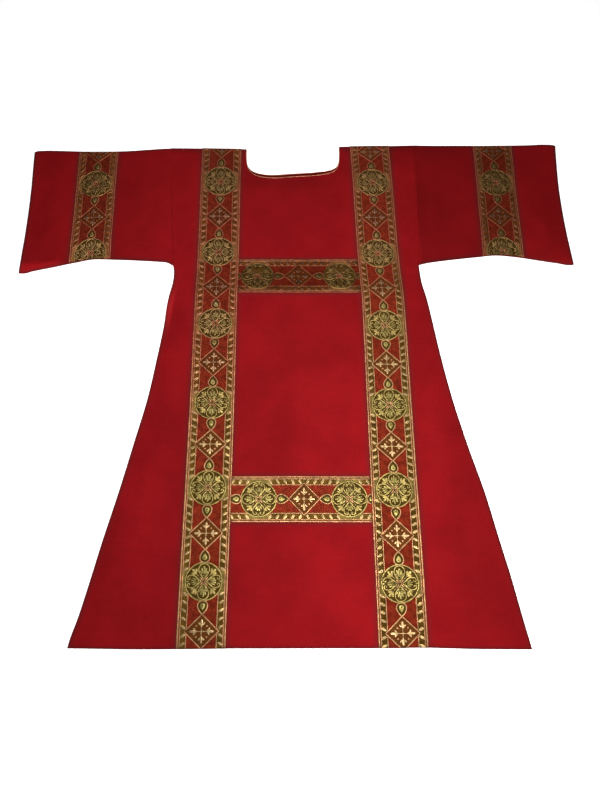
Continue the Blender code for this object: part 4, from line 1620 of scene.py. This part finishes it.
    def lozenge(self) -> None:
        """Add the lozenge with a cross of four fleurs, half a repeat from the medallion."""
        middle = REPEAT / 2.0
        half_height = middle - self.knob_tip
        corners = np.array(((self.lozenge_half_width, 0.0), (0.0, half_height),
                            (-self.lozenge_half_width, 0.0), (0.0, -half_height)))
        share = np.linspace(0.0, 1.0, 9)[:-1, None]
        diamond = np.concatenate([corners[i] + (corners[(i + 1) % 4] - corners[i]) * share
                                  for i in range(4)]) + np.array((0.0, middle))
        self.plate(diamond, self.plate_height, Thread.MAROON)
        self.ribbon(diamond, self.lozenge_line, self.thread_height, Thread.LINE, True)
        for quarter in range(4):
            angle = quarter * math.pi / 2.0
            reach = 0.92 if quarter % 2 else 1.0
            tip = ((0.0, self.fleur_length * reach, self.fleur_width),)
            self.lobes(tip, self.fleur_foot, angle, middle, Thread.FLEUR)
            self.lobes(self.fleur_sides, self.fleur_sides_foot, angle, middle, Thread.FLEUR)
            dot = circle(self.dot_radius, 8) + np.array((self.dot_place, 0.0))
            self.pad(turned(dot, angle + math.pi / 4.0, 0.0, middle), self.thread_height, Thread.LINE)
            self.stroke(0.0, self.cross_arm, angle, self.cross_width, self.thread_height * 0.9,
                        Thread.FLEUR, v=middle)
        centre = circle(self.dot_radius, 10) + np.array((0.0, middle))
        self.pad(centre, self.thread_height * 1.1, Thread.FLEUR)

    def ropes(self) -> None:
        """Add the rope borders: strokes that slant in towards the lozenge's corners from both ends.

        There are none beside the medallion's middle.
        """
        spots = (np.arange(self.rope_count) + 0.5) * REPEAT / self.rope_count
        spots = spots[(spots > self.rope_clear) & (spots < REPEAT - self.rope_clear)]
        turn = once_round(16)
        long, wide, bend = self.comma
        comma = joined(long * np.cos(turn), wide * np.sin(turn) - bend * np.cos(turn) ** 3)
        for side in (-1.0, 1.0):
            for spot in spots:
                slant = np.array((-side, 1.0 if spot < REPEAT / 2.0 else -1.0))
                place = np.array((side * self.rope_centre, spot))
                self.pad(turned(comma, self.comma_lean) * slant + place, self.thread_height, Thread.ROPE)

    def inner_lines(self) -> None:
        """Add the fine line inside each rope border, between the ring and the lozenge's corner."""
        start = math.sqrt(self.ring_radius ** 2 - self.inner_line ** 2) + 0.004
        corner = REPEAT / 2.0 - (self.lozenge_half_width - self.inner_line)
        for side in (-1.0, 1.0):
            for low, high in ((start, corner), (REPEAT - corner, REPEAT - start)):
                self.line_along(side * self.inner_line, low, high, self.inner_line_width,
                                self.thread_height * 0.9, 13)

    def stitches(self) -> None:
        """Add the stitches that hold both edges of the band to the cloth."""
        count = int(round(REPEAT / self.stitch_spacing))
        stitch = circle(self.stitch_length / 2.0, 6) * np.array((0.2, 1.0))
        for side in (-1.0, 1.0):
            for step in range(count):
                spot = np.array((side * self.stitch_at, (step + 0.5) * REPEAT / count))
                self.pad(stitch + spot, self.thread_height * 0.7, Thread.STITCH, ((0.6, 0.9),))

    def build(self) -> None:
        """Add the parts of one whole repeat, from one medallion's middle to the next."""
        self.medallion()
        self.knobs()
        self.lozenge()
        self.ropes()
        self.inner_lines()
        self.stitches()

    def over(self, low: float, high: float) -> Relief:
        """Lay the built repeat end to end and add two plain lines along each edge of the band.

        Args:
            low: v at the band's start.
            high: v at its end.

        Returns:
            The band's whole relief; the repeats reach past both ends.
        """
        whole = Relief()
        for number in range(math.floor(low / REPEAT) - 1, math.ceil(high / REPEAT) + 1):
            shift = np.array((0.0, number * REPEAT, 0.0))
            whole.parts += [(points + shift, *rest) for points, *rest in self.parts]
        steps = max(8, int((high - low) / self.edge_line_step))
        for side in (-1.0, 1.0):
            for u, width in self.edge_lines:
                whole.line_along(side * u, low, high, width, self.thread_height * 0.9, steps)
        return whole


# --- Galloon bands ---


@dataclass
class Galloon:
    """A galloon band on the cloth; the kinds of band differ in how they place u and v.

    marks are the distances along the band, in metres, of its medallions' middles.
    """

    name: str
    cut: Cut
    motif: Motif
    ground: Material
    threads: list[Material]
    rests_on: str
    length: float
    marks: Row
    edge_radius: float = 0.00025
    across_steps: int = 12
    along_steps: int = 150

    def _keys(self) -> tuple[Array, Array]:
        """Return v and distance of the medallions, with one more at each end."""
        marks = np.array((self.marks[0] - PITCH, *self.marks, self.marks[-1] + PITCH))
        return (np.arange(len(marks)) - 1.0) * REPEAT, marks

    def distance(self, v: Array) -> Array:
        """Return the distance along the band at v."""
        steps, marks = self._keys()
        return np.interp(v, steps, marks)

    def ends(self) -> Pair:
        """Return v at the band's two ends."""
        steps, marks = self._keys()
        return float(np.interp(0.0, marks, steps)), float(np.interp(self.length, marks, steps))

    def place(self, u: Array, distance: Array, height: Array) -> Array:
        """Return points at u and distance along the band, at a height above its face."""
        raise NotImplementedError

    def on_front(self, x: Array, drop: Array, height: Array) -> Array:
        """Return points on the front's woven rows, at a height above the band's face."""
        lower = self.cut.row(x, drop)
        return self.cut.at(x, lower, self.cut.front_height(x, lower) + GAP + GALLOON + height)

    def lay_ground(self) -> Piece:
        """Make the woven ground as a thin shell.

        Returns:
            The piece.
        """
        low, high = self.ends()
        u = np.linspace(-0.5, 0.5, self.across_steps + 1)
        v = np.linspace(low, high, self.along_steps + 1)
        across, along = np.meshgrid(u, v)
        points = self.place(across, self.distance(along), np.zeros_like(across)).reshape(-1, 3)
        faces = grid_faces(np.ones((self.along_steps, self.across_steps), dtype=bool))
        corner = points[faces[0]]
        if np.cross(corner[1] - corner[0], corner[2] - corner[1])[2] < 0:
            faces = faces[:, ::-1]
        pattern = joined(across, along).reshape(-1, 2)
        piece = make_piece(f"{self.name}_ground", points, [faces], [self.ground], uv=pattern)
        thicken(piece, GALLOON, self.edge_radius)
        return piece

    def raise_threads(self) -> Piece:
        """Make the thread work: every repeat in the band's own plane, cut at its ends, then placed.

        Returns:
            The piece.
        """
        low, high = self.ends()
        points, faces, kinds = self.motif.over(low, high).arrays()
        piece = make_piece(f"{self.name}_threads", points, faces, self.threads, kinds)
        mesh = piece.data
        self._cut_ends(mesh, low, high)
        points = np.empty(len(mesh.vertices) * 3, np.float32)
        mesh.vertices.foreach_get("co", points)
        points = points.reshape(-1, 3).astype(float)
        corners = np.empty(len(mesh.loops), np.int32)
        mesh.loops.foreach_get("vertex_index", corners)
        layer = mesh.uv_layers.new(name="Pattern")
        layer.data.foreach_set("uv", points[corners, :2].astype(np.float32).ravel())
        placed = self.place(points[:, 0], self.distance(points[:, 1]), points[:, 2])
        mesh.vertices.foreach_set("co", placed.astype(np.float32).ravel())
        if self._is_mirrored():
            mesh.flip_normals()
        mesh.update()
        return piece

    def _is_mirrored(self) -> bool:
        """Try whether placing turns the band's plane over.

        Returns:
            Whether it does.
        """
        u, beyond, level = np.array(((0.0, 0.1, 0.0), (0.0, 0.0, 0.01), (0.0, 0.0, 0.0)))
        start, aside, along = self.place(u, self.length / 2.0 + beyond, level)
        return bool(np.cross(aside - start, along - start)[2] < 0)

    @staticmethod
    def _cut_ends(mesh: bpy.types.Mesh, low: float, high: float) -> None:
        """Cut the thread work off square at both ends and close the cut bodies.

        Args:
            mesh: The thread work.
            low: v at the band's start.
            high: v at its end.
        """
        shape = bmesh.new()
        shape.from_mesh(mesh)
        for v, away in ((low, -1.0), (high, 1.0)):
            everything = shape.verts[:] + shape.edges[:] + shape.faces[:]
            cut = bmesh.ops.bisect_plane(shape, geom=everything, plane_co=(0.0, v, 0.0),
                                         plane_no=(0.0, away, 0.0), clear_outer=True)
            edges = [part for part in cut["geom_cut"] if isinstance(part, bmesh.types.BMEdge)]
            bmesh.ops.holes_fill(shape, edges=edges, sides=0)
        bmesh.ops.recalc_face_normals(shape, faces=shape.faces)
        shape.to_mesh(mesh)
        shape.free()

    def build(self) -> list[Piece]:
        """Returns:
            Both pieces.
        """
        ground, threads = self.lay_ground(), self.raise_threads()
        for piece in (ground, threads):
            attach(piece, BODY)
        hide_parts(self.name)
        return [ground, threads]


@dataclass
class UprightBand(Galloon):
    """A band down the front, from the shoulder to the hem."""

    side: Side = Side.LEFT

    def place(self, u: Array, distance: Array, height: Array) -> Array:
        """Put u across the band's centre line and the distance down it."""
        return self.on_front(self.cut.clavus(self.side, distance) + u * BAND_WIDTH, distance, height)


@dataclass
class CrossBand(Galloon):
    """A band across the front, between the two upright ones."""

    drops: Pair = (0.0, 0.1)

    def span(self, drop: Array) -> tuple[Array, Array]:
        """Return x of the band's two ends at a drop: the upright bands' inner edges, a gap away."""
        inset = BAND_WIDTH / 2 + GAP
        return self.cut.clavus(Side.LEFT, drop) + inset, self.cut.clavus(Side.RIGHT, drop) - inset

    def place(self, u: Array, distance: Array, height: Array) -> Array:
        """Put the distance across the garment and u down it.

        Args:
            u: Places across the band.
            distance: Distances along it.
            height: Heights above its face.

        Returns:
            The points.
        """
        low, high = self.drops
        drop = (low + high) / 2.0 + u * (high - low)
        left, right = self.span(drop)
        return self.on_front(left + (right - left) * distance / self.length, drop, height)


@dataclass
class SleeveBand(Galloon):
    """A band on a sleeve's upper layer, from the top fold to the underarm.

    Its distances are drops along its middle, scaled to the length of each line beside it.
    """

    sleeve: Sleeve | None = None

    def place(self, u: Array, distance: Array, height: Array) -> Array:
        """Put u along the sleeve and the distance down it.

        Args:
            u: Places across the band.
            distance: Distances along it.
            height: Heights above its face.

        Returns:
            The points.
        """
        tops, _ = self.sleeve.guides()
        top_x = tops[1] + (u + 0.5) * (tops[2] - tops[1])
        start, end = self.sleeve.upper_ends(self.sleeve.run_of(top_x))
        drop = start + (end - start) * distance / self.length
        face = self.sleeve.face_height(top_x, drop)
        return self.sleeve.place(top_x, drop, face + GAP + GALLOON + height)


# --- Neck piping ---


@dataclass
class NeckPiping:
    """A fine twisted cord sewn along a neck edge."""

    name: str
    neck: Neck
    middle: float
    finish: Material
    radius: float = 0.00085
    twist_length: float = 0.0042
    lowest: float = 0.0001
    path_steps: int = 520
    around_steps: int = 10

    def build(self) -> Piece:
        """Carry a two-lobed profile along the neck edge and turn it as it goes.

        At the angle t round the profile and the length s along it, the radius is
        r (0.86 + 0.14 cos(2 t - 2 pi s / twist)).

        Returns:
            The piece.
        """
        cut = self.neck.cut
        x, drop = self.neck.edge(self.path_steps)
        rough = joined(x, -cut.row(x, drop))
        reached = np.concatenate(([0.0], np.cumsum(np.linalg.norm(np.diff(rough, axis=0), axis=1))))
        even = np.linspace(0.0, reached[-1], self.path_steps + 1)
        path = joined(*(np.interp(even, reached, values) for values in rough.T))
        along = np.gradient(path, axis=0)
        along /= np.linalg.norm(along, axis=1, keepdims=True)
        inward = joined(along[:, 1], -along[:, 0])
        path = path + inward * (GAP + self.radius)
        turn = once_round(self.around_steps)[None, :]
        twist = math.tau * even[:, None] / self.twist_length
        size = self.radius * (0.86 + 0.14 * np.cos(2.0 * turn - twist))
        flat = path[:, None, :] + inward[:, None, :] * (size * np.cos(turn))[..., None]
        height = np.maximum(self.middle + size * np.sin(turn), self.lowest)
        points = joined(flat[..., 0] - cut.centre_x, flat[..., 1] + cut.shoulder_y, height)
        count, around = height.shape
        number, following, sides = ring_faces(count, around)
        start = count * around
        caps = np.concatenate((joined(following[0], number[0], start),
                               joined(number[-1], following[-1], start + 1)))
        poles = np.stack((points[0].mean(axis=0), points[-1].mean(axis=0)))
        everything = np.concatenate((points.reshape(-1, 3), poles))
        pattern = joined(turn / 60.0, even[:, None] / BAND_WIDTH).reshape(-1, 2)
        pattern = np.concatenate((pattern, np.zeros((2, 2))))
        piece = make_piece(f"{self.name}_cord", everything, [sides, caps], [self.finish], uv=pattern)
        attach(piece, BODY)
        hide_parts(self.name)
        return piece


# --- Stage ---


@dataclass
class Studio:
    """The pale floor, the soft light and the camera that looks down on the garment."""

    camera_place: Triple = (-0.0028, -0.6312, 1.606)
    camera_tilt: float = 18.9
    camera_turn: float = -0.7
    lens: float = 31.5
    floor_size: float = 14.0
    floor_height: float = -0.0004
    sky_strength: float = 0.03

    def lay_floor(self) -> None:
        """Make the floor."""
        half = self.floor_size / 2.0
        points = np.array(((-half, -half, self.floor_height), (half, -half, self.floor_height),
                           (half, half, self.floor_height), (-half, half, self.floor_height)))
        floor = make_piece("floor", points, [np.array(((0, 1, 2, 3),))], [FloorPaper("floor_paper").build()])

    def add_light(self, name: str, place: Triple, size: float, power: float,
                  target: Triple) -> None:
        """Add one soft square light that faces a target.

        Args:
            name: Its name.
            place: Where it is.
            size: The length of its sides.
            power: Its power in watts.
            target: What it faces.
        """
        light = bpy.data.lights.new(name, "AREA")
        light.size = size
        light.energy = power
        thing = bpy.data.objects.new(name, light)
        thing.location = place
        away = Vector(target) - Vector(place)
        thing.rotation_euler = away.to_track_quat("-Z", "Y").to_euler()
        bpy.context.scene.collection.objects.link(thing)

    def light(self) -> None:
        """Set the key light close beside the camera, two weaker lights and a low even sky."""
        self.add_light("key", (0.3, -0.5, 1.2), 0.4, 25.8, (0.1, -0.2, 0.0))
        self.add_light("fill", (-0.34, 0.3, 1.25), 0.8, 12.8, (0.0, 0.1, 0.0))
        self.add_light("back", (0.4, 1.5, 1.5), 0.8, 1.5, (0.0, 0.1, 0.0))
        world = bpy.data.worlds.new("sky")
        world.use_nodes = True
        sky = Graph(world.node_tree)
        sky.feed(sky.tree.nodes["Background"], {"Color": (1.0, 1.0, 1.0), "Strength": self.sky_strength})
        bpy.context.scene.world = world

    def set_camera(self) -> None:
        """Set the camera: tilted down from the hem's side and turned a little about the upright axis."""
        camera = bpy.data.cameras.new("camera")
        camera.lens = self.lens
        camera.sensor_width = 36.0
        camera.clip_end = 50.0
        thing = bpy.data.objects.new("camera", camera)
        tilt = Euler((math.radians(self.camera_tilt), 0.0, math.radians(self.camera_turn)))
        thing.matrix_world = Matrix.Translation(Vector(self.camera_place)) @ tilt.to_matrix().to_4x4()
        bpy.context.scene.collection.objects.link(thing)
        bpy.context.scene.camera = thing

    def build(self) -> None:
        """Set up the floor, the lights, the camera and a plain view of the colours."""
        self.lay_floor()
        self.light()
        self.set_camera()
        bpy.context.scene.view_settings.view_transform = "Standard"


# --- The whole garment ---


class Finishes:
    """Every material, built once."""

    def __init__(self) -> None:
        """Build the cloths, the galloon's ground, its threads and the neck piping."""
        groups = EffectGroups()
        self.cloth = RedCloth("cloth_face", groups).build()
        # The back's inside, seen only in the neck opening, is a darker red: partly the cloth's wrong side,
        # partly painted shade in the opening.
        self.inside = RedCloth("cloth_inside", groups, deep=(0.064, 0.003, 0.0018),
                               bright=(0.086, 0.004, 0.0024), edge=(0.06, 0.003, 0.0018)).build()
        self.ground = GalloonGround("galloon_ground", groups).build()
        self.piping = MetalThread("thread_piping", groups, (0.42, 0.2, 0.08), (0.85, 0.5, 0.24)).build()
        # Each thread: its dark and light colour, metallic, roughness and, where given, the tint of its
        # painted shade towards the shoulders.
        kinds = {
            Thread.LINE: ("thread_line", (0.18, 0.086, 0.038), (0.38, 0.205, 0.092), 0.85, 0.42,
                          (0.95, 0.54, 0.62)),
            Thread.RING: ("thread_ring", (0.135, 0.094, 0.026), (0.33, 0.252, 0.082)),
            Thread.LEAF: ("thread_leaf", (0.09, 0.067, 0.0125), (0.284, 0.232, 0.08), 1.0, 0.4),
            Thread.FLEUR: ("thread_fleur", (0.18, 0.112, 0.052), (0.43, 0.29, 0.138), 1.0, 0.36,
                           (0.66, 0.46, 0.58)),
            Thread.ROPE: ("thread_rope", (0.12, 0.076, 0.03), (0.32, 0.215, 0.092), 1.0, 0.37,
                          (1.12, 0.68, 0.82)),
            Thread.OLIVE: ("ground_olive", (0.028, 0.014, 0.0016), (0.056, 0.032, 0.0036), 0.3, 0.55),
            Thread.MAROON: ("ground_maroon", (0.052, 0.0145, 0.0022), (0.088, 0.027, 0.0042), 0.4, 0.5,
                            (0.95, 0.7, 0.85)),
            Thread.STITCH: ("thread_stitch", (0.2, 0.09, 0.035), (0.4, 0.21, 0.09), 0.1, 0.6),
        }
        looks = [kinds[thread] for thread in Thread]
        self.threads = [MetalThread(name, groups, *values).build() for name, *values in looks]


@dataclass
class Dalmatic:
    """The whole garment, piece by piece."""

    cut: Cut
    finishes: Finishes
    clavus_marks: Rows = ((-0.1356, 0.1187, 0.336, 0.542, 0.7505, 0.958, 1.168),
                          (0.127, 0.34, 0.547, 0.756, 0.963, 1.174))
    upper_bar_marks: Row = (-0.0988, 0.1118)
    lower_bar_marks: Row = (-0.0918, 0.117)
    sleeve_marks: Rows = ((0.1202, 0.3312), (0.1297, 0.34))

    def panels(self) -> list[Piece]:
        """Make the back and the front.

        Returns:
            Both pieces.
        """
        over = self.finishes.cloth
        back = BodyPanel("body_back", self.cut, Neck(self.cut, self.cut.back_depth), False,
                         [self.finishes.inside, over, over],
                         gore_steps=16, clavus_steps=6, shoulder_steps=3, neck_steps=32,
                         row_steps=(10, 5, 10, 6, 26, 6, 16))
        front = BodyPanel("body_front", self.cut, Neck(self.cut, self.cut.front_depth), True, [over])
        return [back.build(), front.build()]

    def sleeves(self) -> dict[Side, Sleeve]:
        """Return both sleeves' shapes."""
        return {side: Sleeve(side, self.cut, self.finishes.cloth) for side in Side}

    def bands(self, sleeves: dict[Side, Sleeve]) -> list[Galloon]:
        """Lay out every galloon band, all of them with one motif.

        Args:
            sleeves: Both sleeves.

        Returns:
            The bands.
        """
        motif = Motif()
        motif.build()
        shared = (self.cut, motif, self.finishes.ground, self.finishes.threads)
        made = [UprightBand(f"clavus_{side.value}", *shared, "body_front_cloth", self.cut.hem_drop,
                            side.pick(self.clavus_marks), side=side, along_steps=190) for side in Side]
        for name, drops, spots in (("crossbar_upper", self.cut.upper_bar, self.upper_bar_marks),
                                   ("crossbar_lower", self.cut.lower_bar, self.lower_bar_marks)):
            band = CrossBand(name, *shared, "body_front_cloth", 1.0, (), drops=drops, along_steps=60)
            left, right = (float(end) for end in band.span(np.array(sum(drops) / 2.0)))
            band.length = right - left
            band.marks = tuple(spot - left for spot in spots)
            made.append(band)
        for side, sleeve in sleeves.items():
            start, end = sleeve.band_ends()
            made.append(SleeveBand(f"sleeve_band_{side.value}", *shared, f"sleeve_{side.value}_cloth",
                                   end - start, tuple(mark - start for mark in side.pick(self.sleeve_marks)),
                                   sleeve=sleeve, along_steps=60))
        return made

    def pipings(self) -> list[Piece]:
        """Make the piping of both neck edges.

        Returns:
            Both pieces.
        """
        return [NeckPiping(name, Neck(self.cut, depth), middle, self.finishes.piping).build()
                for name, depth, middle in (
                    ("neck_piping_front", self.cut.front_depth, FRONT_FACE - CLOTH / 2),
                    ("neck_piping_back", self.cut.back_depth, CLOTH / 2))]

    def build(self) -> None:
        """Make every piece and report each one."""
        pieces = self.panels()
        sleeves = self.sleeves()
        pieces += [sleeve.build() for sleeve in sleeves.values()]
        for band in self.bands(sleeves):
            pieces += band.build()
        pieces += self.pipings()
        for piece in pieces:
            LOG.info("%s: %d faces", piece.name, len(piece.data.polygons))


def main() -> None:
    """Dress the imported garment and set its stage."""
    logging.basicConfig(level=logging.INFO, format="%(message)s")
    Studio().build()
    Dalmatic(Cut(), Finishes()).build()


if __name__ == "__main__":
    main()
